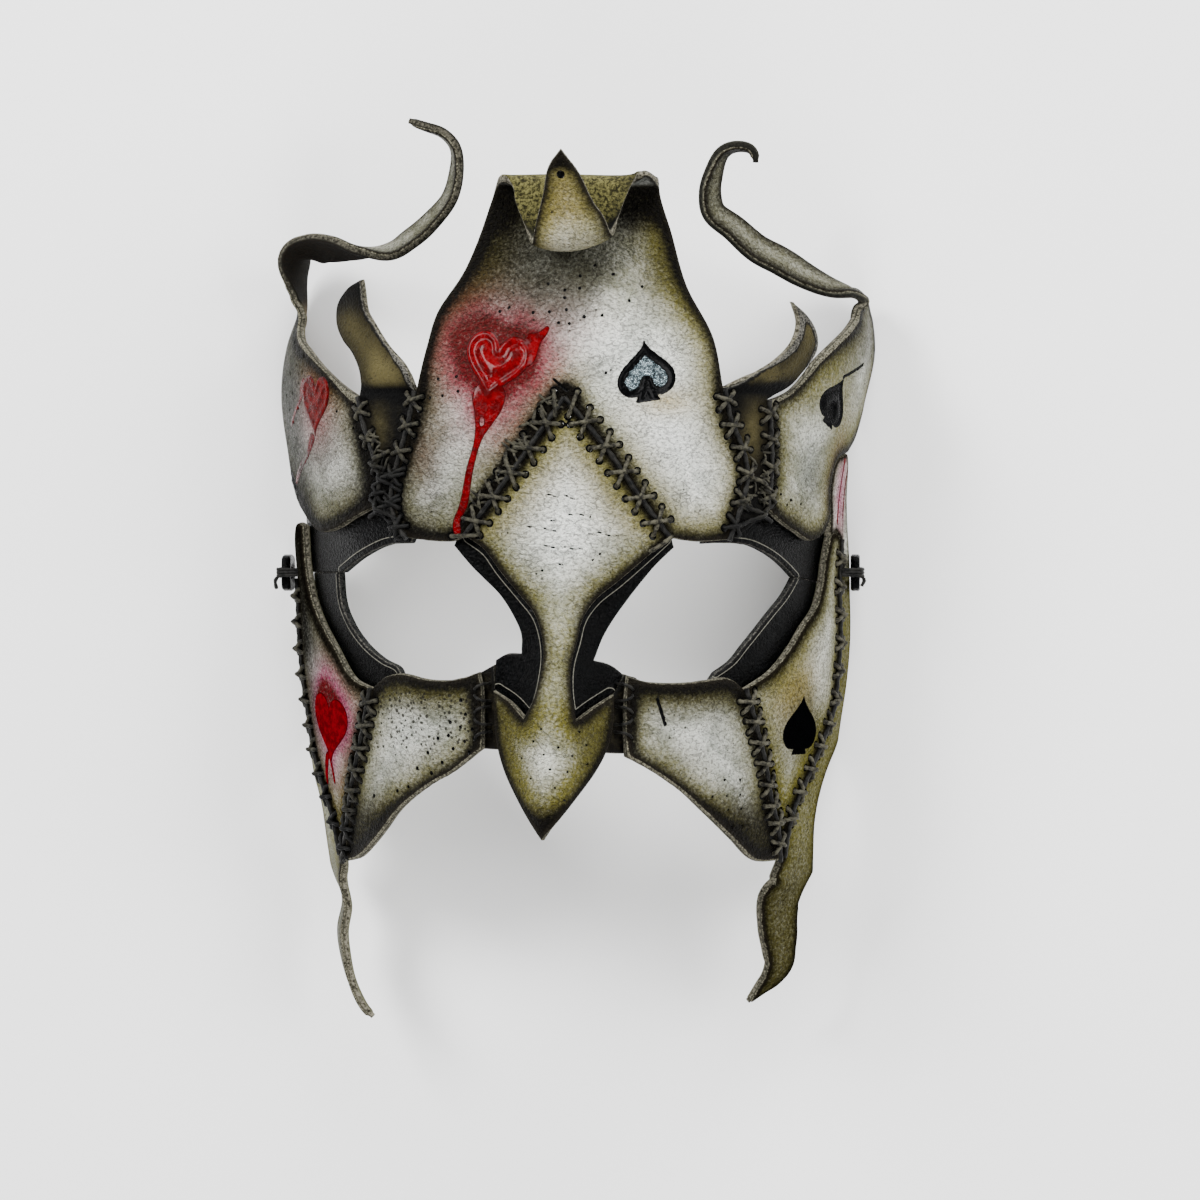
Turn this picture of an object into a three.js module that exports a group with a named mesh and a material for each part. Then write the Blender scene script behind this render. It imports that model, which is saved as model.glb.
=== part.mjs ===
// Jester mask of wet-formed leather panels, laced edge to edge, lying face up. Millimetres.
// X runs across the face, Y from jaw to crown, Z out of the face. Z = 0 is the surface it lies on.
//
// Every panel is cut flat and then formed. Its outline is drawn in pattern coordinates: s is the
// distance round the face from the middle, y the height. A form turns (s, y) into a place in space.
import * as THREE from 'three';

// Leather and its joints
const LEATHER = 2.4; // thickness of every panel
const BLACK = 0x17181a; // dyed strips round the eyes
const RIM_BLACK = 0x1c1b1a;
const SEAM_GAP = 0.4; // daylight between two panels laced edge to edge
const UNDERLAP = -2.8; // how far a lapped strip lies below the panels over it
const RELIEF = 0.9; // height of the modelled hearts and spades
const RELIEF_SLOPE = 1; // width of the slope up to their tops
const LACE = 1.2; // width of the lacing thread
const LACE_LIFT = LEATHER / 2 + 0.3 + LACE / 2; // middle of a thread above the middle of the leather

// Mesh fineness
const EDGE_STEP = 5; // longest step along a cut edge
const GRID_STEP = 6.5; // spacing of the points inside a panel
const STAGGER = 0.01; // how far the grid's points stray, so that no four lie on one circle
const FILL_ROUNDS = 8; // how often the outline's long edges may be halved

// The face shell: half an ellipse at each height, flared at the temples
const WRAP = 80; // s divided by this is the angle round the face, in radians
const HALF_WIDTH_LEFT = [
  [-120, 60], [-90, 64], [-70, 67], [-50, 70.5], [-20, 73.5], [0, 74.5],
  [20, 75.5], [45, 78.5], [60, 77.5], [75, 73], [110, 70],
];
const HALF_WIDTH_RIGHT = [
  [-120, 62], [-90, 66], [-70, 69], [-50, 72], [-20, 75.5], [0, 75.5],
  [20, 76], [45, 79.5], [60, 82.5], [75, 81], [110, 78],
];
const DEPTH = [
  [-120, 66], [-90, 71], [-70, 75], [-50, 78.5], [-20, 81], [0, 82],
  [20, 82.5], [45, 81], [60, 78.5], [75, 74.5], [110, 63],
];
const NOSE_RISE = [[-90, 15], [-74, 21], [-60, 20], [-40, 14], [-20, 7], [0, 2], [20, 0], [40, 0]];
const NOSE_SPREAD = [[-90, 13], [-74, 14], [-60, 15], [-40, 13], [-20, 11], [0, 13], [20, 16], [40, 16]];
const NOSE_AXIS = 1.5; // s of the nose ridge

// Where the mask lies: the rear edges are pared to one plane
const REAR = 121.7; // s of the rear edges
const REAR_PLANE = 4.2; // height of that plane before the mask is set down
const SET_DOWN = new THREE.Vector3(-1.95, 0.7, -REAR_PLANE); // moves the middle of the base to the origin

// Value at v of a smooth curve through stations of [v, value, value ...]
function along(stations, v) {
  const last = stations.length - 1;
  let i = 0;
  while (i < last - 1 && v > stations[i + 1][0]) i += 1;
  const span = stations[i + 1][0] - stations[i][0];
  const t = (v - stations[i][0]) / span;
  const slope = (j, k) => {
    const before = stations[Math.max(j - 1, 0)];
    const after = stations[Math.min(j + 1, last)];
    return (after[k] - before[k]) / (after[0] - before[0]);
  };
  return stations[i].slice(1).map((from, n) => {
    const k = n + 1;
    const to = stations[i + 1][k];
    if (t < 0) return from + slope(i, k) * t * span;
    if (t > 1) return to + slope(i + 1, k) * (t - 1) * span;
    const ease = t * t * (3 - 2 * t);
    const start = slope(i, k) * span * t * (1 - t) * (1 - t);
    const end = slope(i + 1, k) * span * t * t * (t - 1);
    return from + (to - from) * ease + start + end;
  });
}

// Distance at which directions on a form are measured
const PROBE = 0.5;

const smoothstep = (t) => THREE.MathUtils.smoothstep(t, 0, 1);

// The plain face shell
function shell(s, y) {
  const turn = s / WRAP;
  const [halfWidth] = along(s < 0 ? HALF_WIDTH_LEFT : HALF_WIDTH_RIGHT, y);
  const [depth] = along(DEPTH, y);
  const [rise] = along(NOSE_RISE, y);
  const [spread] = along(NOSE_SPREAD, y);
  const nose = Math.max(rise, 0) * Math.exp(-(((s - NOSE_AXIS) / spread) ** 2));
  return new THREE.Vector3(halfWidth * Math.sin(turn), y, depth * Math.cos(turn) + nose);
}

// The crown sheet folds forward over its top, hangs down as a flap and turns up as a tongue
const FOLD_FROM = 96; // y where the fold begins
const FLAP_PATH = [ // [radius of the bend, or 0 for straight, turn in degrees or length]
  [4.5, 190],
  [0, 11],
  [-4, 167],
  [0, 30],
];

function crownForm(s, y) {
  if (y <= FOLD_FROM) return shell(s, y);
  const start = shell(s, FOLD_FROM);
  const before = shell(s, FOLD_FROM - 1);
  let heading = Math.atan2(start.z - before.z, start.y - before.y);
  let left = y - FOLD_FROM;
  const at = start.clone();
  for (const [radius, amount] of FLAP_PATH) {
    const turn = Math.sign(radius) * THREE.MathUtils.degToRad(amount);
    const length = radius === 0 ? amount : Math.abs(radius * turn);
    const part = Math.min(left, length) / length;
    if (radius === 0) {
      at.y += Math.cos(heading) * length * part;
      at.z += Math.sin(heading) * length * part;
    } else {
      const next = heading + turn * part;
      at.y += radius * (Math.sin(next) - Math.sin(heading));
      at.z -= radius * (Math.cos(next) - Math.cos(heading));
      heading = next;
    }
    left -= length * part;
    if (left <= 0) break;
  }
  return at;
}

// Small horns beside the crown crease forward at their foot and curl toward the viewer as they rise
const CURL_FROM = 46.5;
const CREASE = 3.2; // forward step of the crease
const CREASE_LENGTH = 5;
const CURL = 0.01; // forward lean for each square millimetre of height
function curlForm(s, y) {
  const at = shell(s, y);
  const above = Math.max(y - CURL_FROM, 0);
  at.z += CREASE * smoothstep(above / CREASE_LENGTH) + CURL * above * above;
  return at;
}

// A ribbon that grows out of the shell at its neck and follows a route of [x, y, z, tilt].
// Tilt is how many degrees the grain side turns toward the viewer.
const SAMPLES = 8; // points of the track in each span of a route
const NECK = 10; // distance over which a ribbon leaves the shell
function ribbonForm(neckS, neckY, heading, route) {
  const start = shell(neckS, neckY);
  const nodes = [[start.x, start.y, start.z, 0], ...route].map((node, i) => [i, ...node]);
  const steps = (nodes.length - 1) * SAMPLES;
  const track = [];
  let length = 0;
  for (let i = 0; i <= steps; i += 1) {
    const now = along(nodes, i / SAMPLES);
    if (i > 0) {
      const last = track[i - 1];
      length += Math.hypot(now[0] - last[1], now[1] - last[2], now[2] - last[3]);
    }
    track.push([length, ...now]);
  }
  const outward = Math.sign(neckS);
  const place = (t, w) => {
    const [x, y, z, tilt] = along(track, t);
    const ahead = along(track, t + PROBE);
    const behind = along(track, t - PROBE);
    const travel = new THREE.Vector3(ahead[0] - behind[0], ahead[1] - behind[1], ahead[2] - behind[2]);
    travel.normalize().multiplyScalar(heading);
    const flat = new THREE.Vector3(travel.y, -travel.x, 0).normalize().multiplyScalar(outward);
    const grain = flat.multiplyScalar(Math.cos(THREE.MathUtils.degToRad(tilt)));
    grain.z += Math.sin(THREE.MathUtils.degToRad(tilt));
    const width = new THREE.Vector3().crossVectors(travel, grain).normalize();
    return new THREE.Vector3(x, y, z).addScaledVector(width, w);
  };
  return (s, y) => {
    const t = (y - neckY) * heading;
    if (t <= 0) return shell(s, y);
    return shell(s, y).lerp(place(t, s - neckS), smoothstep(t / NECK));
  };
}

const wingFormLeft = ribbonForm(-111, 66, 1, [
  [-74, 74, 15, 0], [-74, 80, 17, -10], [-73, 85, 21, -30], [-68, 87, 25, -35], [-61, 87, 30, -28],
  [-54, 86, 35, 0], [-46, 86, 39, 30], [-40, 89, 42, 35], [-35, 93, 44, 35], [-30, 99, 46, 30],
  [-28, 106, 47, 25], [-28, 112, 48, 15], [-31, 116, 49, 8], [-36, 118, 50, 5], [-42, 120, 50, 0],
]);
const wingFormRight = ribbonForm(111, 68, 1, [
  [80.5, 72.5, 15, 0], [77, 75, 21, 10], [71, 77, 26, 40], [64, 80, 31, 50], [58, 83, 35, 50],
  [52, 86, 38, 50], [46, 91, 41, 48], [41, 95, 43, 45], [40, 100, 45, 40], [41, 105, 46, 35],
  [43, 110, 47, 25], [46, 112, 48, 15], [50, 112, 48, 10], [52, 110, 48, 5], [52, 105, 47, 0],
]);
const jawFormLeft = ribbonForm(-101, -80, -1, [
  [-61, -85, 23, 5], [-60, -91, 22, 8], [-61, -98, 22, 10], [-60, -105, 23, 10],
  [-58, -112, 25, 8], [-55, -118, 27, 5], [-51, -122, 29, 5],
]);
const jawFormRight = ribbonForm(94, -82, -1, [
  [59, -89, 31, 35], [58, -95, 31, 40], [58, -101, 30, 40], [58, -106, 29, 40],
  [56, -110, 28, 35], [53, -113, 27, 30], [49, -117, 26, 25],
]);

// Seams, shared by the two panels that meet there, from top to bottom. The back edge of the right wing,
// from bottom to top, meets the jaw strip without a lace.
const seam = {
  diamond_left: [[3.5, 44.5], [-6.5, 30.5], [-17.5, 16.5], [-24.5, 8.5]],
  diamond_right: [[3.5, 44.5], [15, 31], [24, 19], [33, 8]],
  crown_left: [[-38, 46.5], [-40.5, 37.5], [-45, 27], [-47.5, 19], [-46.5, 13], [-42.5, 8]],
  crown_right: [[46.5, 47.5], [49, 40], [54.5, 31], [56.5, 24], [54.5, 16], [51, 7.5]],
  wing_left: [[-57.5, 45.5], [-55.5, 37], [-52.5, 28], [-51.5, 23], [-54, 16.5]],
  wing_right: [[61.5, 44.5], [64, 34], [65, 24.5], [64.5, 16]],
  cheek_left: [[-58.5, -31.5], [-61, -38], [-65.5, -47], [-72.5, -57.5], [-81, -69], [-89, -79]],
  cheek_right: [[57.5, -31.5], [61, -38], [66.5, -49], [72.5, -61.5], [77, -68], [81, -78]],
  jaw_left: [[-109.5, -2.5], [-108.5, -20], [-107, -32], [-103, -45], [-97, -57], [-92.5, -66], [-90.5, -77]],
  jaw_right: [[106, 8], [104.5, -5], [104.5, -30], [104, -37], [99, -44], [90, -56], [84.5, -65], [83, -77]],
  wing_back: [[97, 14], [95.5, 22], [97.5, 29], [107, 31.5]],
};
const reversed = (name) => seam[name].toReversed();

// The two sides of a ribbon, from its neck to its tip, for widths from its middle as [distance, width]
function taper(neckS, neckY, heading, tip, lefts, rights = lefts) {
  const side = (sign, widths) => widths.map(([t, width]) => [neckS + sign * width, neckY + heading * t]);
  return { left: side(-1, lefts), right: side(1, rights), tip: [neckS, neckY + heading * tip] };
}
const hornLeft = taper(-111, 66, 1, 105, [
  [0, 10.7], [8, 9], [18, 7.5], [32, 6], [44, 4.8], [56, 4.6], [68, 4.2], [80, 3.5], [90, 2.6], [99, 1.6],
]);
const hornRight = taper(111, 68, 1, 89, [
  [0, 10.7], [3, 8.3], [6, 4.6], [9, 3], [12, 3.2], [16, 4.6], [22, 5.2], [32, 5.2], [44, 4.8], [56, 4.2],
  [68, 3.4], [78, 2.4], [84, 1.6],
], [
  [0, 10.7], [4, 7], [8, 4], [12, 2.6], [17, 2.4], [24, 3.4], [32, 4.8], [44, 4.8], [56, 4.2], [68, 3.4],
  [78, 2.4], [84, 1.6],
]);
const tailLeft = taper(-101, -80, -1, 45, [[0, 10], [6, 7.5], [14, 6], [26, 5.2], [36, 3]]);
const tailRight = taper(94, -82, -1, 40, [
  [0, 14.5], [3, 14.2], [6, 13], [8, 11.2], [11, 9.2], [18, 7], [26, 5], [33, 3],
], [[0, 14.5], [3, 11], [6, 8], [9, 6.6], [14, 6.4], [18, 6.6], [26, 5], [33, 3]]);

// A heart of half width r and half height tall about (s, y), point down
const HEART_POINTS = 16;
const HEART_REACH = 14.5; // half height of the heart curve before it is scaled
const HEART_MIDDLE = 0.17; // how far its middle lies below its origin, in half heights
function heart(s, y, r, tall) {
  const ring = [];
  for (let i = 0; i < HEART_POINTS; i += 1) {
    const a = (i / HEART_POINTS) * Math.PI * 2;
    const across = Math.sin(a) ** 3;
    const up = 13 * Math.cos(a) - 5 * Math.cos(2 * a) - 2 * Math.cos(3 * a) - Math.cos(4 * a);
    ring.push([s + r * across, y + tall * (up / HEART_REACH + HEART_MIDDLE)]);
  }
  return ring;
}
const spade = (s, y, r, tall) => heart(s, y, r, -tall).toReversed();

// Panels. An outline runs anticlockwise as a list of smooth edges with a corner between them.
const PANELS = {
  crown_panel: {
    form: crownForm,
    colour: 0xb9bdb2,
    edges: [
      [[-42.5, 8], [-35, 7.3], [-28, 7.2], [-24.5, 8.5]],
      reversed('diamond_left'),
      seam.diamond_right,
      [[33, 8], [41, 7.1], [51, 7.5]],
      reversed('crown_right'),
      [[46.5, 47.5], [42, 61], [35.5, 73.5], [31.5, 88], [28.5, 98], [28.3, 104]],
      [[28.3, 104], [26.5, 108], [24.5, 111.5], [19.8, 118.5], [17.5, 123], [16, 128], [14.5, 134],
        [11.3, 140.3], [7.8, 148.5], [3, 155.3]],
      [[3, 155.3], [-0.5, 150], [-2, 143], [-4.3, 134], [-5.4, 128], [-8.1, 122.6], [-10.8, 118],
        [-12, 112.5], [-15.4, 107.5], [-17, 103.5]],
      [[-17, 103.5], [-19.5, 95.5], [-26, 78.5], [-33, 67.5], [-35, 59], [-38, 46.5]],
      seam.crown_left,
    ],
    relief: [heart(-14.5, 52, 8.3, 8.8), spade(24, 51, 7.4, 7.6)],
  },
  nose_panel: {
    form: shell,
    colour: 0xb4b39a,
    edges: [
      seam.diamond_left,
      [[-24.5, 8.5], [-19, 5], [-14.5, -0.5], [-8.5, -7], [-4.5, -11.5], [-2.5, -16], [-1.5, -22.5],
        [-2.5, -29.5], [-4, -34.5], [-6.5, -38.5]],
      [[-6.5, -38.5], [-11, -34.5], [-16.5, -31.5]],
      [[-16.5, -31.5], [-16.3, -37], [-15.5, -46], [-13, -53], [-8.5, -60], [-1, -70]],
      [[-1, -70], [6.5, -61], [13.5, -52], [16.5, -46], [17.7, -39], [17.5, -32.5]],
      [[17.5, -32.5], [12.5, -35.5], [7.5, -39]],
      [[7.5, -39], [6, -31.5], [6, -25], [7.5, -19], [9, -13], [12.5, -8], [19, -3], [26, 2.5], [33, 8]],
      reversed('diamond_right'),
    ],
  },
  left_eye_strip_inner: {
    form: shell,
    colour: BLACK,
    lift: UNDERLAP,
    edges: [
      [[-29.5, 6], [-24, 0.5], [-20.5, -2.5], [-15.5, -7], [-12, -12], [-9.7, -17], [-9.8, -21.7]],
      [[-9.8, -21.7], [-14, -22], [-17.3, -23.7]],
      [[-17.3, -23.7], [-17.5, -31]],
      [[-17.5, -31], [-13.5, -35.5], [-6.5, -39.6]],
      [[-6.5, -39.6], [-3, -34], [-0.8, -23], [-1.6, -15], [-4.5, -8.5], [-11, -0.5], [-17, 5.5],
        [-21.5, 11.5]],
      [[-21.5, 11.5], [-27, 10], [-29.5, 6]],
    ],
  },
  right_eye_strip_inner: {
    form: shell,
    colour: BLACK,
    lift: UNDERLAP,
    edges: [
      [[28, 12], [24, 6.5], [17, 0], [10.5, -6.5], [7.4, -13], [5.9, -20], [5, -27], [5.2, -33], [7.5, -40]],
      [[7.5, -40], [13, -36.2], [18.7, -32]],
      [[18.7, -32], [20.7, -27.6]],
      [[20.7, -27.6], [18.3, -25.2], [16, -24.2], [13.5, -23.5]],
      [[13.5, -23.5], [15.5, -18], [18, -13.5], [22.5, -7.5], [26.5, -3], [30.5, 1], [36, 5.5]],
      [[36, 5.5], [34, 10], [28, 12]],
    ],
  },
  left_gusset: {
    form: curlForm,
    colour: 0x3b3629,
    edges: [
      reversed('crown_left'),
      [[-38, 46.5], [-41, 53], [-48, 59], [-54, 64.5], [-59, 69], [-62.5, 76.5]],
      [[-62.5, 76.5], [-68, 74.5], [-71.5, 70.5], [-70, 65.5], [-65.5, 60.5], [-60.5, 56.5], [-57, 51],
        [-57.5, 45.5]],
      seam.wing_left,
      [[-54, 16.5], [-48.5, 10.8], [-42.5, 8]],
    ],
  },
  right_gusset: {
    form: curlForm,
    colour: 0x4a4630,
    edges: [
      seam.crown_right,
      [[51, 7.5], [58, 10.5], [64.5, 16]],
      reversed('wing_right'),
      [[61.5, 44.5], [66, 46.9], [70.5, 49.6], [75, 54.2], [77.6, 58.5], [77, 63], [74, 67], [69, 70.5]],
      [[69, 70.5], [70.5, 65.5], [68.5, 60.5], [63.5, 55.8], [56.5, 51.8], [46.5, 47.5]],
    ],
  },
  left_wing: {
    form: wingFormLeft,
    colour: 0xa9ac9c,
    edges: [
      reversed('wing_left'),
      [[-57.5, 45.5], [-64.5, 48.6], [-75, 54], [-85, 59], [-94, 62.5], hornLeft.right[0]],
      [...hornLeft.right, hornLeft.tip],
      [hornLeft.tip, ...hornLeft.left.toReversed()],
      [hornLeft.left[0], [-REAR, 42]],
      [[-REAR, 42], [-116, 32], [-107, 22], [-99, 16.8]],
      [[-99, 16.8], [-90.5, 12.7], [-83.5, 10], [-73, 10.5], [-63.5, 13.5], [-54, 16.5]],
    ],
    relief: [heart(-80, 43.5, 9, 7.6)],
  },
  right_wing: {
    form: wingFormRight,
    colour: 0xa9ac9c,
    edges: [
      seam.wing_right,
      [[64.5, 16], [70.5, 12.5], [78, 9.5], [84.5, 7.5], [91.5, 9], [97, 14]],
      seam.wing_back,
      [[107, 31.5], [115, 36], [REAR, 43]],
      [[REAR, 43], hornRight.right[0]],
      [...hornRight.right, hornRight.tip],
      [hornRight.tip, ...hornRight.left.toReversed()],
      [hornRight.left[0], [94, 65], [85, 60.6], [77.8, 55.5], [75.2, 52], [70.5, 47.6], [66, 45.7],
        [61.5, 44.5]],
    ],
    relief: [spade(89, 45, 7, 6.5)],
  },
  left_brow_band: {
    form: shell,
    colour: BLACK,
    lift: UNDERLAP,
    edges: [
      [[-75, -0.6], [-63, 3.2], [-52, 6.2], [-43.5, 6.6]],
      [[-43.5, 6.6], [-41.5, 10.5], [-45, 14], [-54, 19.3], [-63.5, 16.6], [-73, 13.6], [-83.5, 13.2],
        [-91, 16], [-102, 21]],
      [[-102, 21], [-105, 15], [-103, 7], [-99, -0.6]],
      [[-99, -0.6], [-75, -0.6]],
    ],
  },
  right_brow_band: {
    form: shell,
    colour: BLACK,
    lift: UNDERLAP,
    edges: [
      [[44.5, 6.4], [51, 6.6], [60, 6.2], [69, 3.5], [75.5, 0.5], [81, -2.2]],
      [[81, -2.2], [95, -3.4]],
      [[95, -3.4], [99, 1], [103, 8], [101, 17.5]],
      [[101, 17.5], [91.5, 12.4], [84.5, 10.8], [78, 12.8], [70.5, 15.8], [63, 19.3], [54, 16.5],
        [47, 12.5], [44.5, 6.4]],
    ],
  },
  left_eye_rim_outer: {
    form: shell,
    colour: RIM_BLACK,
    lift: UNDERLAP,
    edges: [
      [[-77.3, -1.5], [-96.8, -1.5]],
      [[-96.8, -1.5], [-95.5, -6.5], [-89.5, -13.5], [-80.5, -21.5], [-70, -30.5], [-62, -35.5]],
      [[-62, -35.5], [-54, -33.5], [-48.5, -29.5]],
      [[-48.5, -29.5], [-50, -26.3], [-56.5, -24], [-64.5, -20], [-71.5, -14.5], [-76, -8.5], [-77.3, -1.5]],
    ],
  },
  right_eye_rim_outer: {
    form: shell,
    colour: RIM_BLACK,
    lift: UNDERLAP,
    edges: [
      [[80.5, -3.4], [75.5, -7], [70, -11], [64, -15.7], [59, -20], [54.5, -24.2], [49, -27.3]],
      [[49, -27.3], [47, -30.5], [54, -33.5], [62, -35.5]],
      [[62, -35.5], [70, -30.5], [78, -24], [84, -18], [91, -12], [95, -4.8]],
      [[95, -4.8], [80.5, -3.4]],
    ],
  },
  left_cheek: {
    form: shell,
    colour: 0xb4b6a9,
    edges: [
      [[-20.5, -47], [-20, -39.5], [-20, -31.5], [-21, -26.7]],
      [[-21, -26.7], [-25, -28], [-31, -29], [-38.5, -28.7], [-46, -27.4], [-53, -28.4], [-58.5, -31.5]],
      seam.cheek_left,
      [[-89, -79], [-77, -77.5], [-67, -73.5], [-60, -69.5], [-53, -64.5], [-47, -61], [-38, -56.5],
        [-30, -53], [-20.5, -47]],
    ],
  },
  right_cheek: {
    form: shell,
    colour: 0xa8a898,
    edges: [
      [[21, -27.7], [20.7, -35], [21, -43], [21.5, -49]],
      [[21.5, -49], [29.5, -53], [39, -58.5], [46, -63.5], [58, -71.5], [68, -77.3], [81, -78]],
      reversed('cheek_right'),
      [[57.5, -31.5], [52, -28.6], [44, -29.1], [37, -29.7], [27, -29.3], [21, -27.7]],
    ],
  },
  left_side_panel: {
    form: shell,
    colour: 0xb0b1a6,
    edges: [
      [[-97, 12], [-105, 12.5], [-112, 7], [-109.5, -2.5]],
      seam.jaw_left,
      [[-90.5, -77], [-89, -79]],
      reversed('cheek_left'),
      [[-58.5, -31.5], [-68, -28.5], [-76.5, -20.5], [-86.5, -12], [-92.5, -5], [-95.5, 3], [-97, 12]],
    ],
    relief: [heart(-84.5, -42.5, 8.5, 6.5)],
  },
  right_side_panel: {
    form: shell,
    colour: 0xa3a38f,
    edges: [
      [[97, 8.5], [94.5, 2.5], [92.5, -3], [87.5, -10], [81, -15], [75.5, -20.5], [68, -26.5], [57.5, -31.5]],
      seam.cheek_right,
      [[81, -78], [83, -77]],
      reversed('jaw_right'),
      [[106, 8], [101, 10], [97, 8.5]],
    ],
    relief: [spade(84, -43, 8.5, 6.6)],
  },
  left_jaw_strip: {
    form: jawFormLeft,
    colour: 0x8f917c,
    edges: [
      [[-109.5, -2.5], [-116.5, -6], [-REAR, -14]],
      [[-REAR, -14], [-REAR, -45]],
      [[-REAR, -45], [-112, -54.5], [-105.5, -63], [-107.5, -71], tailLeft.left[0]],
      [...tailLeft.left, tailLeft.tip],
      [tailLeft.tip, ...tailLeft.right.toReversed()],
      [tailLeft.right[0], [-90.5, -77]],
      reversed('jaw_left'),
    ],
  },
  right_jaw_strip: {
    form: jawFormRight,
    colour: 0x8f917c,
    edges: [
      seam.jaw_right,
      [[83, -77], tailRight.left[0]],
      [...tailRight.left, tailRight.tip],
      [tailRight.tip, ...tailRight.right.toReversed()],
      [tailRight.right[0], [105, -76], [102, -68], [103, -61], [108, -54], [REAR, -47]],
      [[REAR, -47], [REAR, -12]],
      [[REAR, -12], [118.5, 0], [115, 10], [112.5, 20], [110.5, 28], [107, 31.5]],
      reversed('wing_back'),
      [[97, 14], [97, 8.5]],
      [[97, 8.5], [101, 10], [106, 8]],
    ],
  },
  left_nose_gusset: {
    form: shell,
    colour: 0x2a2620,
    lift: UNDERLAP,
    edges: [
      [[-24, -30], [-23.5, -47.3]],
      [[-23.5, -47.3], [-11, -47.3]],
      [[-11, -47.3], [-9.5, -42]],
      [[-9.5, -42], [-14.5, -38.4], [-18.7, -33.5]],
      [[-18.7, -33.5], [-18.6, -30]],
      [[-18.6, -30], [-24, -30]],
    ],
  },
  right_nose_gusset: {
    form: shell,
    colour: 0x2a2620,
    lift: UNDERLAP,
    edges: [
      [[21.6, -30], [19.6, -33.5]],
      [[19.6, -33.5], [15, -37.6], [10, -41.8]],
      [[10, -41.8], [11.5, -47.5]],
      [[11.5, -47.5], [24, -48.5]],
      [[24, -48.5], [25, -30.5]],
      [[25, -30.5], [21.6, -30]],
    ],
  },
};

// Laces: how many stitches each seam takes, where along it they start and stop (0 to 1), and how far
// the holes lie from it
const LACES = {
  diamond_left: { stitches: 12, from: 0.1, to: 0.95, reach: 3.6 },
  diamond_right: { stitches: 12, from: 0.1, to: 0.95, reach: 3.6 },
  crown_left: { stitches: 15, from: 0.08, to: 0.93, reach: 2.6 },
  crown_right: { stitches: 15, from: 0.12, to: 0.93, reach: 3 },
  wing_left: { stitches: 9, from: 0.08, to: 0.62, reach: 2.6 },
  wing_right: { stitches: 9, from: 0.12, to: 0.85, reach: 3 },
  cheek_left: { stitches: 17, from: 0.05, to: 0.93, reach: 3.6 },
  cheek_right: { stitches: 17, from: 0.05, to: 0.93, reach: 3.6 },
  jaw_left: { stitches: 17, from: 0.05, to: 0.84, reach: 3 },
  jaw_right: { stitches: 18, from: 0.05, to: 0.84, reach: 3 },
};
const LACE_COLOUR = 0x4b4639;

const onPlane = ([s, y]) => new THREE.Vector3(s, y, 0);

// Points along a smooth edge, without its last
function pointsAlong(edge) {
  if (edge.length === 2) return spaced(new THREE.LineCurve3(...edge.map(onPlane)), 2);
  return spaced(new THREE.CatmullRomCurve3(edge.map(onPlane)), edge.length);
}
function spaced(curve, fewest) {
  const steps = Math.max(Math.ceil(curve.getLength() / EDGE_STEP), fewest - 1);
  return curve.getSpacedPoints(steps).slice(0, -1).map((p) => [p.x, p.y]);
}

// Moves a closed outline inward by a distance
function inset(ring, distance) {
  return ring.map((at, i) => {
    const last = ring.at(i - 1);
    const next = ring[(i + 1) % ring.length];
    const a = unit(at[0] - last[0], at[1] - last[1]);
    const b = unit(next[0] - at[0], next[1] - at[1]);
    const inwardS = -(a[1] + b[1]);
    const inwardY = a[0] + b[0];
    const size = inwardS * inwardS + inwardY * inwardY;
    const reach = Math.min((2 * distance) / size, 1.5 * distance);
    return [at[0] + inwardS * reach, at[1] + inwardY * reach];
  });
}
function unit(s, y) {
  const length = Math.hypot(s, y);
  return [s / length, y / length];
}

function contains(ring, [s, y]) {
  let inside = false;
  ring.forEach(([s1, y1], i) => {
    const [s2, y2] = ring[(i + 1) % ring.length];
    if (y1 > y !== y2 > y && s < ((s2 - s1) * (y - y1)) / (y2 - y1) + s1) inside = !inside;
  });
  return inside;
}

// Delaunay triangles of a cloud of points
function delaunay(points) {
  const far = 1e4;
  const cloud = [...points, [-far, -far], [far, -far], [0, far]];
  const circle = (a, b, c) => {
    const [[ax, ay], [bx, by], [cx, cy]] = [cloud[a], cloud[b], cloud[c]];
    const d = 2 * (ax * (by - cy) + bx * (cy - ay) + cx * (ay - by));
    const [a2, b2, c2] = [ax * ax + ay * ay, bx * bx + by * by, cx * cx + cy * cy];
    const x = (a2 * (by - cy) + b2 * (cy - ay) + c2 * (ay - by)) / d;
    const y = (a2 * (cx - bx) + b2 * (ax - cx) + c2 * (bx - ax)) / d;
    return { abc: [a, b, c], x, y, reach: (ax - x) ** 2 + (ay - y) ** 2 };
  };
  let triangles = [circle(points.length, points.length + 1, points.length + 2)];
  points.forEach(([s, y], n) => {
    const edges = new Map();
    triangles = triangles.filter((t) => {
      if ((s - t.x) ** 2 + (y - t.y) ** 2 >= t.reach) return true;
      const [a, b, c] = t.abc;
      for (const [from, to] of [[a, b], [b, c], [c, a]]) {
        if (!edges.delete(`${to},${from}`)) edges.set(`${from},${to}`, [from, to]);
      }
      return false;
    });
    for (const [from, to] of edges.values()) triangles.push(circle(from, to, n));
  });
  return triangles.map((t) => t.abc).filter((abc) => Math.max(...abc) < points.length);
}

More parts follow.
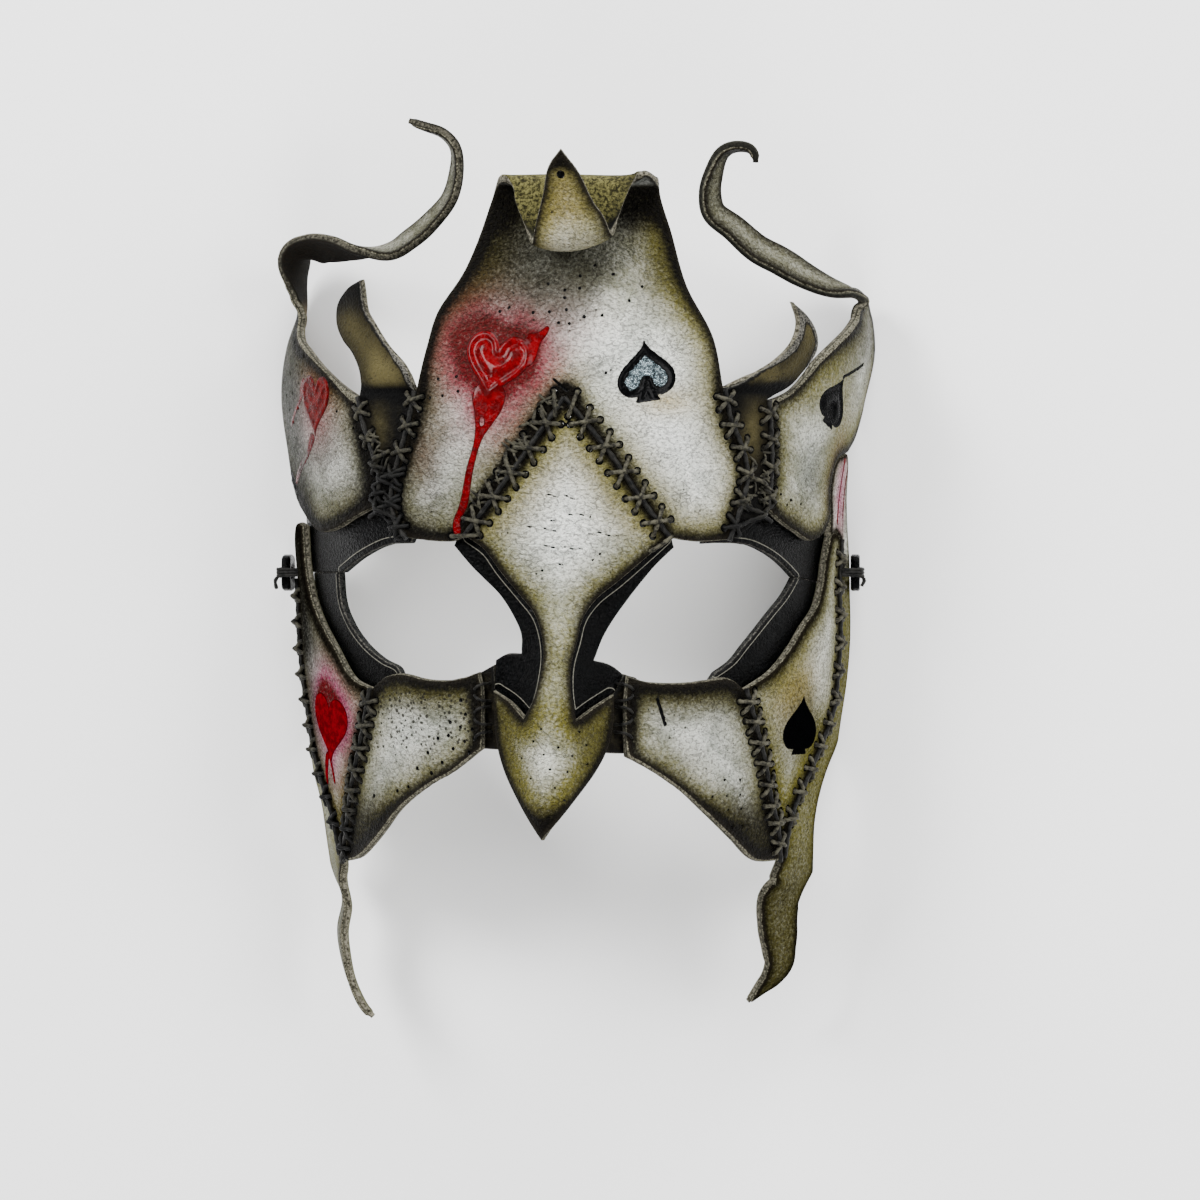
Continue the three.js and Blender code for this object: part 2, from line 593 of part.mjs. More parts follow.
// Triangles that fill an outline, with rings of points inside it where a relief rises
function fill(ring, reliefs) {
  let outline = ring;
  const rises = reliefs.map((foot) => ({ foot, top: inset(foot.toReversed(), RELIEF_SLOPE) }));
  const clear = (point, others, distance) => others.every(
    ([s, y]) => Math.hypot(s - point[0], y - point[1]) > distance,
  );
  for (let round = 0; round < FILL_ROUNDS; round += 1) {
    const fixed = [...outline, ...rises.flatMap(({ foot, top }) => [...foot, ...top])];
    const inside = [];
    const [sLow, sHigh] = [Math.min(...outline.map((p) => p[0])), Math.max(...outline.map((p) => p[0]))];
    const [yLow, yHigh] = [Math.min(...outline.map((p) => p[1])), Math.max(...outline.map((p) => p[1]))];
    const rowStep = GRID_STEP * Math.sqrt(0.75);
    for (let row = 0; yLow + row * rowStep < yHigh; row += 1) {
      const y = yLow + row * rowStep;
      for (let s = sLow + (row % 2) * GRID_STEP * 0.5; s < sHigh; s += GRID_STEP) {
        const point = [s + STAGGER * Math.sin(7 * s + y), y + STAGGER * Math.cos(5 * y - s)];
        if (contains(outline, point) && clear(point, fixed, GRID_STEP * 0.6)) inside.push(point);
      }
    }
    const points = [...fixed, ...inside];
    const abcs = delaunay(points);
    const found = new Set(abcs.flatMap(([a, b, c]) => [`${a},${b}`, `${b},${c}`, `${c},${a}`]));
    const split = [];
    outline.forEach((point, i) => {
      const j = (i + 1) % outline.length;
      split.push(point);
      if (found.has(`${i},${j}`) || found.has(`${j},${i}`)) return;
      split.push([(point[0] + outline[j][0]) / 2, (point[1] + outline[j][1]) / 2]);
    });
    if (split.length === outline.length) {
      const middle = (abc) => [0, 1].map((k) => abc.reduce((sum, n) => sum + points[n][k] / 3, 0));
      const kept = abcs.filter((abc) => contains(outline, middle(abc)));
      const raised = points.map((p) => rises.some(({ top }) => contains(top, p) || top.includes(p)));
      return { points, abcs: kept, raised };
    }
    outline = split;
  }
  throw new Error('an outline could not be filled');
}

// The outward normal of a form at (s, y)
function normalOf(form, s, y) {
  const across = form(s + PROBE, y).sub(form(s - PROBE, y));
  const up = form(s, y + PROBE).sub(form(s, y - PROBE));
  return across.cross(up).normalize();
}
const lifted = (form, s, y, lift) => form(s, y).addScaledVector(normalOf(form, s, y), lift);

// A panel: its outline filled, formed and given the thickness of the leather
function panel({ form, lift = 0, edges, relief = [] }) {
  const ring = inset(edges.flatMap(pointsAlong), SEAM_GAP / 2);
  const { points, abcs, raised } = fill(ring, relief);
  const corners = [];
  for (const [side, sign] of [['grain', 1], ['flesh', -1]]) {
    points.forEach(([s, y], i) => {
      const rise = side === 'grain' && raised[i] ? RELIEF : 0;
      const at = lifted(form, s, y, lift + (sign * LEATHER) / 2 + rise);
      if (Math.abs(s) > REAR - SEAM_GAP) at.z = REAR_PLANE;
      corners.push(at);
    });
  }
  const under = points.length;
  const faces = [];
  const open = new Map();
  for (const [a, b, c] of abcs) {
    faces.push([a, b, c], [c + under, b + under, a + under]);
    for (const [from, to] of [[a, b], [b, c], [c, a]]) {
      if (!open.delete(`${to},${from}`)) open.set(`${from},${to}`, [from, to]);
    }
  }
  for (const [a, b] of open.values()) faces.push([b, a, a + under], [b, a + under, b + under]);
  return solidGeometry(corners, faces);
}

function solidGeometry(corners, faces) {
  const geometry = new THREE.BufferGeometry();
  geometry.setAttribute('position', new THREE.Float32BufferAttribute(corners.flatMap((p) => p.toArray()), 3));
  geometry.setIndex(faces.flat());
  return geometry;
}

// A square thread through points, each with the direction that is up from the leather
function thread(stops) {
  const corners = [];
  stops.forEach(({ at, up }, i) => {
    const last = (stops[i - 1] ?? stops[i]).at;
    const next = (stops[i + 1] ?? stops[i]).at;
    const side = new THREE.Vector3().subVectors(next, last).cross(up).normalize();
    for (const [across, rise] of [[-1, -1], [1, -1], [1, 1], [-1, 1]]) {
      const corner = at.clone().addScaledVector(side, (across * LACE) / 2);
      corners.push(corner.addScaledVector(up, (rise * LACE) / 2));
    }
  });
  const faces = [[0, 1, 2], [0, 2, 3]];
  const end = corners.length - 4;
  faces.push([end + 2, end + 1, end], [end + 3, end + 2, end]);
  for (let i = 0; i < end; i += 4) {
    for (let k = 0; k < 4; k += 1) {
      const n = (k + 1) % 4;
      faces.push([i + k, i + k + 4, i + n], [i + n, i + k + 4, i + n + 4]);
    }
  }
  return solidGeometry(corners, faces);
}

// A thread that goes from hole to hole across a seam
function lace(name) {
  const curve = new THREE.CatmullRomCurve3(seam[name].map(onPlane));
  const { stitches, from, to, reach } = LACES[name];
  const stops = [];
  for (let i = 0; i <= stitches; i += 1) {
    const share = from + ((to - from) * i) / stitches;
    const middle = curve.getPointAt(share);
    const run = curve.getTangentAt(share);
    const side = i % 2 === 0 ? reach : -reach;
    const [s, y] = [middle.x - run.y * side, middle.y + run.x * side];
    stops.push({ at: lifted(shell, s, y, LACE_LIFT), up: normalOf(shell, s, y) });
  }
  return thread(stops);
}

// Loops at the temples that the ties pass through
const TAB = { width: 12, height: 9, slotWidth: 6, slotHeight: 3, corner: 1.2 };
const TAB_AT = { left: [-78.3, -1, 12], right: [76.9, -1, 13] };
function strapTab() {
  const [w, h] = [TAB.width / 2, TAB.height / 2];
  const c = TAB.corner;
  const shape = new THREE.Shape([
    [c - w, -h], [w - c, -h], [w, c - h], [w, h - c], [w - c, h], [c - w, h], [-w, h - c], [-w, c - h],
  ].map(([x, y]) => new THREE.Vector2(x, y)));
  const [sw, sh] = [TAB.slotWidth / 2, TAB.slotHeight / 2];
  const slot = [[-sw, -sh], [-sw, sh], [sw, sh], [sw, -sh]];
  shape.holes.push(new THREE.Path(slot.map(([x, y]) => new THREE.Vector2(x, y))));
  return new THREE.ExtrudeGeometry(shape, { depth: LEATHER, bevelEnabled: false }).rotateY(Math.PI / 2);
}

const mask = new THREE.Group();
mask.position.copy(SET_DOWN);
function add(name, geometry, colour, roughness) {
  const material = new THREE.MeshStandardMaterial({ color: colour, roughness, metalness: 0 });
  const mesh = new THREE.Mesh(geometry, material);
  mesh.name = name;
  mask.add(mesh);
  return mesh;
}
for (const [name, plan] of Object.entries(PANELS)) add(name, panel(plan), plan.colour, 0.5);
for (const name of Object.keys(LACES)) add(`lace_${name}`, lace(name), LACE_COLOUR, 0.8);
for (const side of ['left', 'right']) {
  add(`${side}_strap_tab`, strapTab(), 0x151515, 0.6).position.set(...TAB_AT[side]);
}

export default mask;
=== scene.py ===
# %% [markdown]
# # A laced leather jester mask
# Twenty pieces of thick leather are cut flat, wetted, formed over a face and laced edge to edge. The
# surface is airbrushed grey, with carved hearts and spades. This notebook follows the same order as
# the bench: lay out, cut, form, carve, dye and lace. Lengths are millimetres until the last moment,
# when `place` sets the mask down and turns them into metres.

import math
import random

import bpy
import numpy as np
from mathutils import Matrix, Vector
from mathutils.geometry import delaunay_2d_cdt


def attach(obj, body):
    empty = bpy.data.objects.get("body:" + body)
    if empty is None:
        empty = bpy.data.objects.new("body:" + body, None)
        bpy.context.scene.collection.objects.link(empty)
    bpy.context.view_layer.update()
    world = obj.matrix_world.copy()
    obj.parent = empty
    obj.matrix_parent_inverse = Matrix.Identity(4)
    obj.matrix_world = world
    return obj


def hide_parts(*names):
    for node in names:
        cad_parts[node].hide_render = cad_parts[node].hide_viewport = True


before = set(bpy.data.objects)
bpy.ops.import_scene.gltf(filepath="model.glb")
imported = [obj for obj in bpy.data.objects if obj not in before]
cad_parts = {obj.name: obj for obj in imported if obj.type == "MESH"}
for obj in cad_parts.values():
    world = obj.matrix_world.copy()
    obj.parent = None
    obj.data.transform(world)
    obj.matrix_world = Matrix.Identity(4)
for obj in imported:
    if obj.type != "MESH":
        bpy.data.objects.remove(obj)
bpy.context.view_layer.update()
print("solids loaded:", len(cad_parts))

# %% [markdown]
# ## The camera
# The mask lies face up, so the camera looks straight down on it, turned four degrees to one side as
# the photographer stood. A long lens keeps the sides from bulging. The lens is worked out from how
# many millimetres one pixel of the photograph covers, which makes the framing exact.

# %% Place the camera
MM = 0.001
SET_DOWN = np.array([-1.95, 0.7, -4.2])  # moves the middle of the base to the origin
LOOK_AT = np.array([0.0, 0.0, 55.0])  # point of the face that the camera aims at
DISTANCE = 1400.0
TURN = math.radians(4)
FRAME_PIXELS = 1200
PIXEL = 0.265  # width of one photograph pixel at the aim, in mm
AIM_PIXEL = (558, 569)  # where the aim appears in the photograph
SENSOR = 36.0


def place(points):
    """Millimetres on the pattern maker's bench to metres in the frame."""
    return (np.asarray(points) + SET_DOWN) * MM


def make_camera():
    camera = bpy.data.objects.new("camera", bpy.data.cameras.new("camera"))
    bpy.context.scene.collection.objects.link(camera)
    camera.location = place(LOOK_AT) + DISTANCE * MM * np.array([math.sin(TURN), 0, math.cos(TURN)])
    camera.rotation_euler = (0, TURN, 0)
    camera.data.sensor_width = SENSOR
    camera.data.lens = SENSOR * DISTANCE / (FRAME_PIXELS * PIXEL)
    camera.data.shift_x = (FRAME_PIXELS / 2 - AIM_PIXEL[0]) / FRAME_PIXELS
    camera.data.shift_y = (AIM_PIXEL[1] - FRAME_PIXELS / 2) / FRAME_PIXELS
    camera.data.clip_end = 10
    bpy.context.scene.camera = camera
    return camera


camera = make_camera()
print("lens", round(camera.data.lens, 1), "mm")

# %% [markdown]
# ## Forming over the face
# A flat pattern point is `(s, y)`: s is the distance round the face from its middle, y the height.
# A form turns it into a place in space. The plain form is half an ellipse at each height, with a
# nose ridge. Stations up the face give its half widths and depth, joined by a smooth curve, the way
# a sculptor checks a head with callipers at a few heights.

# %% Smooth values through stations
LEATHER = 2.4  # thickness of every piece
SEAM_GAP = 0.4  # daylight between two laced edges
UNDERLAP = -2.8  # how far the black strips lie below the pieces over them


def along(stations, v):
    """Rows of smooth values at v, through stations of [v, value, value ...]."""
    table = np.asarray(stations, float)
    v = np.atleast_1d(np.asarray(v, float))
    knots, values = table[:, 0], table[:, 1:]
    n = len(knots)
    i = np.clip(np.searchsorted(knots, v) - 1, 0, n - 2)
    before = np.maximum(np.arange(n) - 1, 0)
    after = np.minimum(np.arange(n) + 1, n - 1)
    slopes = (values[after] - values[before]) / (knots[after] - knots[before])[:, None]
    span = (knots[i + 1] - knots[i])[:, None]
    t = (v - knots[i])[:, None] / span
    a, b, leave, arrive = values[i], values[i + 1], slopes[i], slopes[i + 1]
    curve = a + (b - a) * t * t * (3 - 2 * t)
    curve += leave * span * t * (1 - t) ** 2 + arrive * span * t * t * (t - 1)
    low, high = a + leave * t * span, b + arrive * (t - 1) * span
    return np.where(t < 0, low, np.where(t > 1, high, curve))


def ease(t):
    """0 below 0, 1 above 1, smooth between."""
    t = np.clip(t, 0, 1)
    return t * t * (3 - 2 * t)


print("a quarter of the way, a smooth step has reached", float(ease(0.25)))

# %% The plain face
WRAP = 80.0  # s divided by this is the angle round the face
HALF_WIDTH_LEFT = [
    (-120, 60), (-90, 64), (-70, 67), (-50, 70.5), (-20, 73.5), (0, 74.5),
    (20, 75.5), (45, 78.5), (60, 77.5), (75, 73), (110, 70)]
HALF_WIDTH_RIGHT = [
    (-120, 62), (-90, 66), (-70, 69), (-50, 72), (-20, 75.5), (0, 75.5),
    (20, 76), (45, 79.5), (60, 82.5), (75, 81), (110, 78)]
DEPTH = [
    (-120, 66), (-90, 71), (-70, 75), (-50, 78.5), (-20, 81), (0, 82),
    (20, 82.5), (45, 81), (60, 78.5), (75, 74.5), (110, 63)]
NOSE_RISE = [(-90, 15), (-74, 21), (-60, 20), (-40, 14), (-20, 7), (0, 2), (20, 0), (40, 0)]
NOSE_SPREAD = [(-90, 13), (-74, 14), (-60, 15), (-40, 13), (-20, 11), (0, 13), (20, 16), (40, 16)]
NOSE_AXIS = 1.5
REAR = 121.7  # s of the rear edges
REAR_PLANE = 4.2  # height they are pared to


def shell(s, y):
    turn = s / WRAP
    half = np.where(s < 0, along(HALF_WIDTH_LEFT, y)[:, 0], along(HALF_WIDTH_RIGHT, y)[:, 0])
    rise = np.maximum(along(NOSE_RISE, y)[:, 0], 0)
    nose = rise * np.exp(-(((s - NOSE_AXIS) / along(NOSE_SPREAD, y)[:, 0]) ** 2))
    return np.stack([half * np.sin(turn), y, along(DEPTH, y)[:, 0] * np.cos(turn) + nose], axis=1)


print("face is", round(float(shell(np.array([0.0]), np.array([0.0]))[0, 2])), "mm deep at the eyes")

# %% [markdown]
# ## Folds, curls and ribbons
# Three forms bend away from the face. The crown sheet rolls forward over its top, hangs as a flap
# and turns up into a tongue: walking along straights and bends, like a turtle, gives that in a few
# numbers. The small horns crease forward and curl. The long horns and the chin tails are ribbons
# that leave the shell at a neck and follow a route, twisting as they go.

# %% The rolled crown and the curled horns
FOLD_FROM = 96.0  # height at which the crown leaves the face
FLAP_PATH = [(4.5, 190), (0, 11), (-4, 167), (0, 30)]  # radius and degrees, or 0 and length
BELLY, BELLY_AT = 0.024, 3.0  # how far the bend of the tongue lifts away from its middle
CURL_FROM, CREASE, CREASE_LENGTH, CURL = 46.5, 3.2, 5.0, 0.01  # foot, fold and curl of the small horns


def crown_form(s, y):
    at = shell(s, np.minimum(y, FOLD_FROM))
    before = shell(s, np.full_like(y, FOLD_FROM - 1))
    start = shell(s, np.full_like(y, FOLD_FROM))
    heading = np.arctan2(start[:, 2] - before[:, 2], start[:, 1] - before[:, 1])
    left = np.maximum(y - FOLD_FROM, 0)
    for radius, amount in FLAP_PATH:
        turn = np.sign(radius) * math.radians(amount)
        length = amount if radius == 0 else abs(radius * turn)
        part = np.clip(left / length, 0, 1)
        if radius == 0:
            at[:, 1] += np.cos(heading) * length * part
            at[:, 2] += np.sin(heading) * length * part
        else:
            ahead = heading + turn * part
            at[:, 1] += radius * (np.sin(ahead) - np.sin(heading))
            at[:, 2] -= radius * (np.cos(ahead) - np.cos(heading))
            heading = ahead
        left = np.maximum(left - length, 0)
    at[:, 1] += BELLY * (s - BELLY_AT) ** 2 * ease((y - 104) / 14)
    return at


def curl_form(s, y):
    at = shell(s, y)
    above = np.maximum(y - CURL_FROM, 0)
    at[:, 2] += CREASE * ease(above / CREASE_LENGTH) + CURL * above * above
    return at


flap = sum(abs(radius) * math.radians(amount) if radius else amount for radius, amount in FLAP_PATH)
print("the crown runs on for", round(flap), "mm beyond its fold")

# %% Ribbons
SAMPLES = 8  # points of the track in each span of a route
PROBE = 0.5  # distance at which directions are measured
NECK = 10.0  # distance over which a ribbon leaves the shell


def ribbon_form(neck_s, neck_y, heading, route):
    start = shell(np.array([neck_s]), np.array([neck_y]))[0]
    nodes = [(0, *start, 0)] + [(i + 1, *row) for i, row in enumerate(route)]
    rows = along(nodes, np.arange(len(route) * SAMPLES + 1) / SAMPLES)
    steps = np.linalg.norm(np.diff(rows[:, :3], axis=0), axis=1)
    track = np.column_stack([np.concatenate([[0], np.cumsum(steps)]), rows])
    outward = math.copysign(1, neck_s)

    def placed(t, w):
        row = along(track, t)
        travel = along(track, t + PROBE)[:, :3] - along(track, t - PROBE)[:, :3]
        travel *= heading / np.linalg.norm(travel, axis=1)[:, None]
        tilt = np.radians(row[:, 3])
        flat = np.stack([travel[:, 1], -travel[:, 0]], axis=1) * outward
        flat *= (np.cos(tilt) / np.linalg.norm(flat, axis=1))[:, None]
        grain = np.column_stack([flat, np.sin(tilt)])
        width = np.cross(travel, grain)
        width /= np.linalg.norm(width, axis=1)[:, None]
        return row[:, :3] + width * w[:, None]

    def form(s, y):
        t = (y - neck_y) * heading
        blend = ease(t / NECK)[:, None]
        return shell(s, y) * (1 - blend) + placed(np.maximum(t, 0), s - neck_s) * blend

    return form


print("a ribbon is clear of the shell after", NECK, "mm")

# %% Routes of the horns and the tails, as x, y, z and tilt
wing_form_left = ribbon_form(-111, 66, 1, [
    (-74, 74, 15, 0), (-74, 80, 17, -10), (-73, 85, 21, -30), (-68, 87, 25, -35), (-61, 87, 30, -28),
    (-54, 86, 35, 0), (-46, 86, 39, 30), (-40, 89, 42, 35), (-35, 93, 44, 35), (-30, 99, 46, 30),
    (-28, 106, 47, 25), (-28, 112, 48, 15), (-31, 116, 49, 8), (-36, 118, 50, 5), (-42, 120, 50, 0)])
wing_form_right = ribbon_form(111, 68, 1, [
    (80.5, 72.5, 15, 0), (77, 75, 21, 10), (71, 77, 26, 40), (64, 80, 31, 50), (58, 83, 35, 50),
    (52, 86, 38, 50), (46, 91, 41, 48), (41, 95, 43, 45), (40, 100, 45, 40), (41, 105, 46, 35),
    (43, 110, 47, 25), (46, 112, 48, 15), (50, 112, 48, 10), (52, 110, 48, 5), (52, 105, 47, 0)])
jaw_form_left = ribbon_form(-101, -80, -1, [
    (-61, -85, 23, 5), (-60, -91, 22, 8), (-61, -98, 22, 10), (-60, -105, 23, 10),
    (-58, -112, 25, 8), (-55, -118, 27, 5), (-51, -122, 29, 5)])
jaw_form_right = ribbon_form(94, -82, -1, [
    (59, -89, 31, 35), (58, -95, 31, 40), (58, -101, 30, 40), (58, -106, 29, 40),
    (56, -110, 28, 35), (53, -113, 27, 30), (49, -117, 26, 25)])


def swell(s, y):
    """The gentle unevenness that hands and wet leather leave."""
    across = np.sin(s / 9.0 + 1.7 * np.sin(y / 14.0))
    return 0.28 * across * np.cos(y / 11.0 + 0.8 * np.sin(s / 13.0))


def lifted(form, points, height):
    """Places at a height above the middle of the leather."""
    s, y = points[:, 0], points[:, 1]
    across = form(s + PROBE, y) - form(s - PROBE, y)
    up = form(s, y + PROBE) - form(s, y - PROBE)
    normal = np.cross(across, up)
    normal /= np.linalg.norm(normal, axis=1)[:, None]
    return form(s, y) + normal * (height + swell(s, y))[:, None]


print("four ribbons and three forms ready")

# %% [markdown]
# ## Cutting outlines
# A knife follows a smooth line and stops at each corner. So an outline is a list of smooth edges,
# each through a few points, and both pieces that meet at a seam share the same edge. Distances from
# these lines come up again and again: for rolling the edge, for carving, and for shading the dye.

# %% Smooth edges and outlines
RING_STEP = 0.9  # spacing of points along a cut edge


def smooth_curve(points, step, closed=False):
    """Evenly spaced points on a smooth curve through the given ones."""
    p = np.asarray(points, float)
    if closed:
        p = np.vstack([p, p[:1]])
        padded = np.vstack([p[-2], p, p[1]])
    else:
        padded = np.vstack([2 * p[0] - p[1], p, 2 * p[-1] - p[-2]])
    u = np.linspace(0, 1, 24, endpoint=False)[:, None]
    spans = []
    for a, b, c, d in zip(padded, padded[1:], padded[2:], padded[3:]):
        da, db, dc = (math.sqrt(np.linalg.norm(q - r)) for q, r in ((b, a), (c, b), (d, c)))
        leave = ((b - a) / da - (c - a) / (da + db) + (c - b) / db) * db
        arrive = ((c - b) / db - (d - b) / (db + dc) + (d - c) / dc) * db
        cubic = 2 * b - 2 * c + leave + arrive
        square = -3 * b + 3 * c - 2 * leave - arrive
        spans.append(b + leave * u + square * u ** 2 + cubic * u ** 3)
    fine = np.vstack(spans + [p[-1:]])
    reach = np.concatenate([[0], np.cumsum(np.linalg.norm(np.diff(fine, axis=0), axis=1))])
    count = max(int(math.ceil(reach[-1] / step)), 2)
    stops = np.linspace(0, reach[-1], count + 1)
    return np.column_stack([np.interp(stops, reach, fine[:, k]) for k in range(p.shape[1])])


def straight(points, step):
    a, b = np.asarray(points, float)
    count = max(int(math.ceil(np.linalg.norm(b - a) / step)), 1)
    return a + (b - a) * np.linspace(0, 1, count + 1)[:, None]


def inset(ring, distance):
    """A closed outline moved inward."""
    back, ahead = ring - np.roll(ring, 1, axis=0), np.roll(ring, -1, axis=0) - ring
    back /= np.linalg.norm(back, axis=1)[:, None]
    ahead /= np.linalg.norm(ahead, axis=1)[:, None]
    inward = np.column_stack([-(back + ahead)[:, 1], (back + ahead)[:, 0]])
    size = (inward ** 2).sum(axis=1)
    return ring + inward * np.minimum(2 * distance / size, 1.5 * distance)[:, None]


def outline(edges):
    """The cut line of a piece, anticlockwise, with its half of the seam gap taken off."""
    parts = [straight(e, RING_STEP) if len(e) == 2 else smooth_curve(e, RING_STEP) for e in edges]
    return inset(np.vstack([part[:-1] for part in parts]), SEAM_GAP / 2)


print("points on a straight cut of 100 mm:", len(straight([(0, 0), (100, 0)], RING_STEP)))

# %% Distances from lines
def distance_to(points, ring, closed=True):
    a = ring if closed else ring[:-1]
    b = np.roll(ring, -1, axis=0) if closed else ring[1:]
    run = b - a
    size = np.maximum((run ** 2).sum(axis=1), 1e-12)
    best = np.full(len(points), np.inf)
    for start, step, length in zip(a, run, size):
        offset = points - start
        t = np.clip(offset @ step / length, 0, 1)
        best = np.minimum(best, ((offset - t[:, None] * step) ** 2).sum(axis=1))
    return np.sqrt(best)


def inside(points, ring):
    x, y = points[:, 0], points[:, 1]
    found = np.zeros(len(points), bool)
    for (x1, y1), (x2, y2) in zip(ring, np.roll(ring, -1, axis=0)):
        if y1 == y2:
            continue
        crosses = (y1 > y) != (y2 > y)
        found ^= crosses & (x < (x2 - x1) * (y - y1) / (y2 - y1) + x1)
    return found


def signed_distance(points, ring):
    """Negative inside, positive outside."""
    distance = distance_to(points, ring)
    return np.where(inside(points, ring), -distance, distance)


tile = np.array([(0, 0), (10, 0), (10, 10), (0, 10)], float)
print("the middle of a 10 mm tile lies at", float(signed_distance(np.array([[5.0, 5.0]]), tile)[0]), "mm")

# %% [markdown]
# ## Hearts and spades
# A carver draws a heart once and cuts it at many sizes, so it is a formula here. A spade is a heart
# upside down on a flared stem. Around each one the leather is cut with a swivel knife, bevelled and
# domed, and the section of that cut depends only on the distance from the drawn line. Two lists of
# heights against distance describe both motifs, and paint follows the same distances.

# %% Draw hearts and spades
HEART_REACH = 14.5  # half height of the heart curve before scaling
HEART_MIDDLE = 0.17  # how far its middle lies below its origin, in half heights
HEART_SECTION = [(-0.9, 0), (-0.3, 0.4), (0.4, 0.8), (1.0, 0.75), (1.6, 0.4), (2.3, 0.5),
                 (3.6, 0.9), (6, 1.1)]
SPADE_SECTION = [(-1.1, 0), (-0.5, 0.3), (0, 0.1), (0.5, -0.4), (1.1, -0.1), (1.6, -0.35), (2.1, 0.3),
                 (2.8, 0.75), (6, 0.9)]


def lean(ring, centre, degrees):
    c, k = math.cos(math.radians(degrees)), math.sin(math.radians(degrees))
    return (ring - centre) @ np.array([[c, k], [-k, c]]) + centre


def heart_ring(s, y, half, tall, degrees=0):
    """Half width, half height, and degrees turned anticlockwise."""
    a = np.linspace(0, math.tau, 72, endpoint=False)
    across = np.sin(a) ** 3
    up = (13 * np.cos(a) - 5 * np.cos(2 * a) - 2 * np.cos(3 * a) - np.cos(4 * a)) / HEART_REACH
    ring = np.column_stack([s + half * across, y + tall * (up + HEART_MIDDLE)])
    return lean(ring, (s, y), degrees)


def spade_rings(s, y, half, tall, degrees=0):
    body = heart_ring(s, y, half, -tall)
    foot = y - tall * 1.2
    stem = np.array([
        (s - 0.1 * half, y - 0.6 * tall), (s - 0.42 * half, foot), (s + 0.42 * half, foot),
        (s + 0.1 * half, y - 0.6 * tall)])
    return lean(body, (s, y), degrees), lean(stem, (s, y), degrees)


def section(heights, distance):
    table = np.array(heights)
    return np.interp(distance, table[:, 0], table[:, 1], right=table[-1, 1])


print("heart of", len(heart_ring(0, 0, 8, 8)), "points")

# %% [markdown]
# ## Reading the artwork at every point
# Each piece has an art list: hearts, spades, red drips, strokes cut with a knife and pits punched
# with an awl. At any point of the pattern the distances to them say how high the surface stands and
# which colour lies on it. These distances are stored on the mesh, and the paint finds its edge at
# zero, so a line stays crisp however large the faces are.

# %% Heights and paint distances
FAR = 9.0  # distance stored where no line is near
# The light lines on the black strips are painted highlights
LINE_HALF = 0.11  # half width of the light lines on the black strips


def stroke_distance(points, stroke):
    s0, y0, s1, y1, half = stroke
    return distance_to(points, np.array([(s0, y0), (s1 + 1e-6, y1)], float), closed=False) - half


def read_art(points, art):
    red, ink, silver, highlight_line = (np.full(len(points), FAR) for _ in range(4))
    rise, relief = np.zeros(len(points)), art.get("relief", 1.0)
    for ring in art.get("hearts", ()):
        distance = signed_distance(points, ring)
        red = np.minimum(red, distance - 0.35)
        rise += relief * section(HEART_SECTION, -distance)
    for body, stem in art.get("spades", ()):
        in_body, in_stem = signed_distance(points, body), signed_distance(points, stem)
        distance = np.minimum(in_body, in_stem)
        ink = np.minimum(ink, distance - 0.25)
        if art.get("foil"):
            silver = np.minimum(silver, in_body + 1.85)
        rise += relief * section(SPADE_SECTION, -distance)
    for ring in art.get("drips", ()):
        distance = signed_distance(points, ring)
        red = np.minimum(red, distance)
        rise += 0.16 * ease(0.5 - distance / 0.5)
    for ring in art.get("gaps", ()):
        red = np.maximum(red, -signed_distance(points, ring))
    for stroke in art.get("strokes", ()):
        distance = stroke_distance(points, stroke)
        ink = np.minimum(ink, distance)
        rise -= 0.4 * ease(0.6 - distance / 0.4)
    # Lines beside the edges of the black strips: a low raised bead, painted light as its highlight
    for path, offset in art.get("lines", ()):
        highlight_line = distance_to(points, path, closed=False) - offset
        rise += 0.15 * ease(0.8 - abs(highlight_line) / 0.4)
    return {"red": red, "ink": ink, "silver": silver, "highlight_line": highlight_line}, rise


def pit(s, y, size=0.45):
    return (s, y, s, y, size)


print("a pit of the awl is", 2 * pit(0, 0)[-1], "mm across")

# %% [markdown]
# ## From a flat piece to a formed sheet
# The cut piece is filled with triangles by Blender's own constrained Delaunay tool, with points
# dense beside the edges, the stitch holes and the carving, and loose elsewhere. Every point then
# goes through the form twice, once for the grain side and once for the flesh side, and the cut edge
# closes the two. Edges are rolled as they are when a maker rubs them with a bone slicker.

# %% Scatter points over a piece
GRID, FINE_GRID = 1.15, 0.45  # spacing of the points, loose and beside carving
CARVED = 1.0  # how far the fine points reach from the carving
ROLL, FLESH_ROLL = 0.6, 0.3  # radii of the rubbed edges
EDGE_ROWS = (0.18, 0.42, 0.8)  # depths of the rows of points that shape them
HOLE = 0.7  # radius of a stitch hole
HOLE_SIDES = 10
HOLE_MARGIN = 0.25  # least leather between a hole and the cut edge
HOLE_RING, HOLE_DIP = 0.4, 0.28  # width of the black ring round a hole, and the dip of the leather there
DIP_REACH = 0.8  # how far the dip spreads from the hole


def hexagons(low, high, step):
    rows = np.arange(low[1], high[1], step * math.sqrt(0.75))
    columns = np.arange(low[0], high[0], step)
    s, y = np.meshgrid(columns, rows)
    s = s + (np.arange(len(rows)) % 2)[:, None] * step / 2
    return np.column_stack([s.ravel(), y.ravel()])


def circle(centre, radius, start=0.0):
    a = start + np.linspace(0, math.tau, HOLE_SIDES, endpoint=False)
    return np.asarray(centre) + radius * np.column_stack([np.cos(a), np.sin(a)])


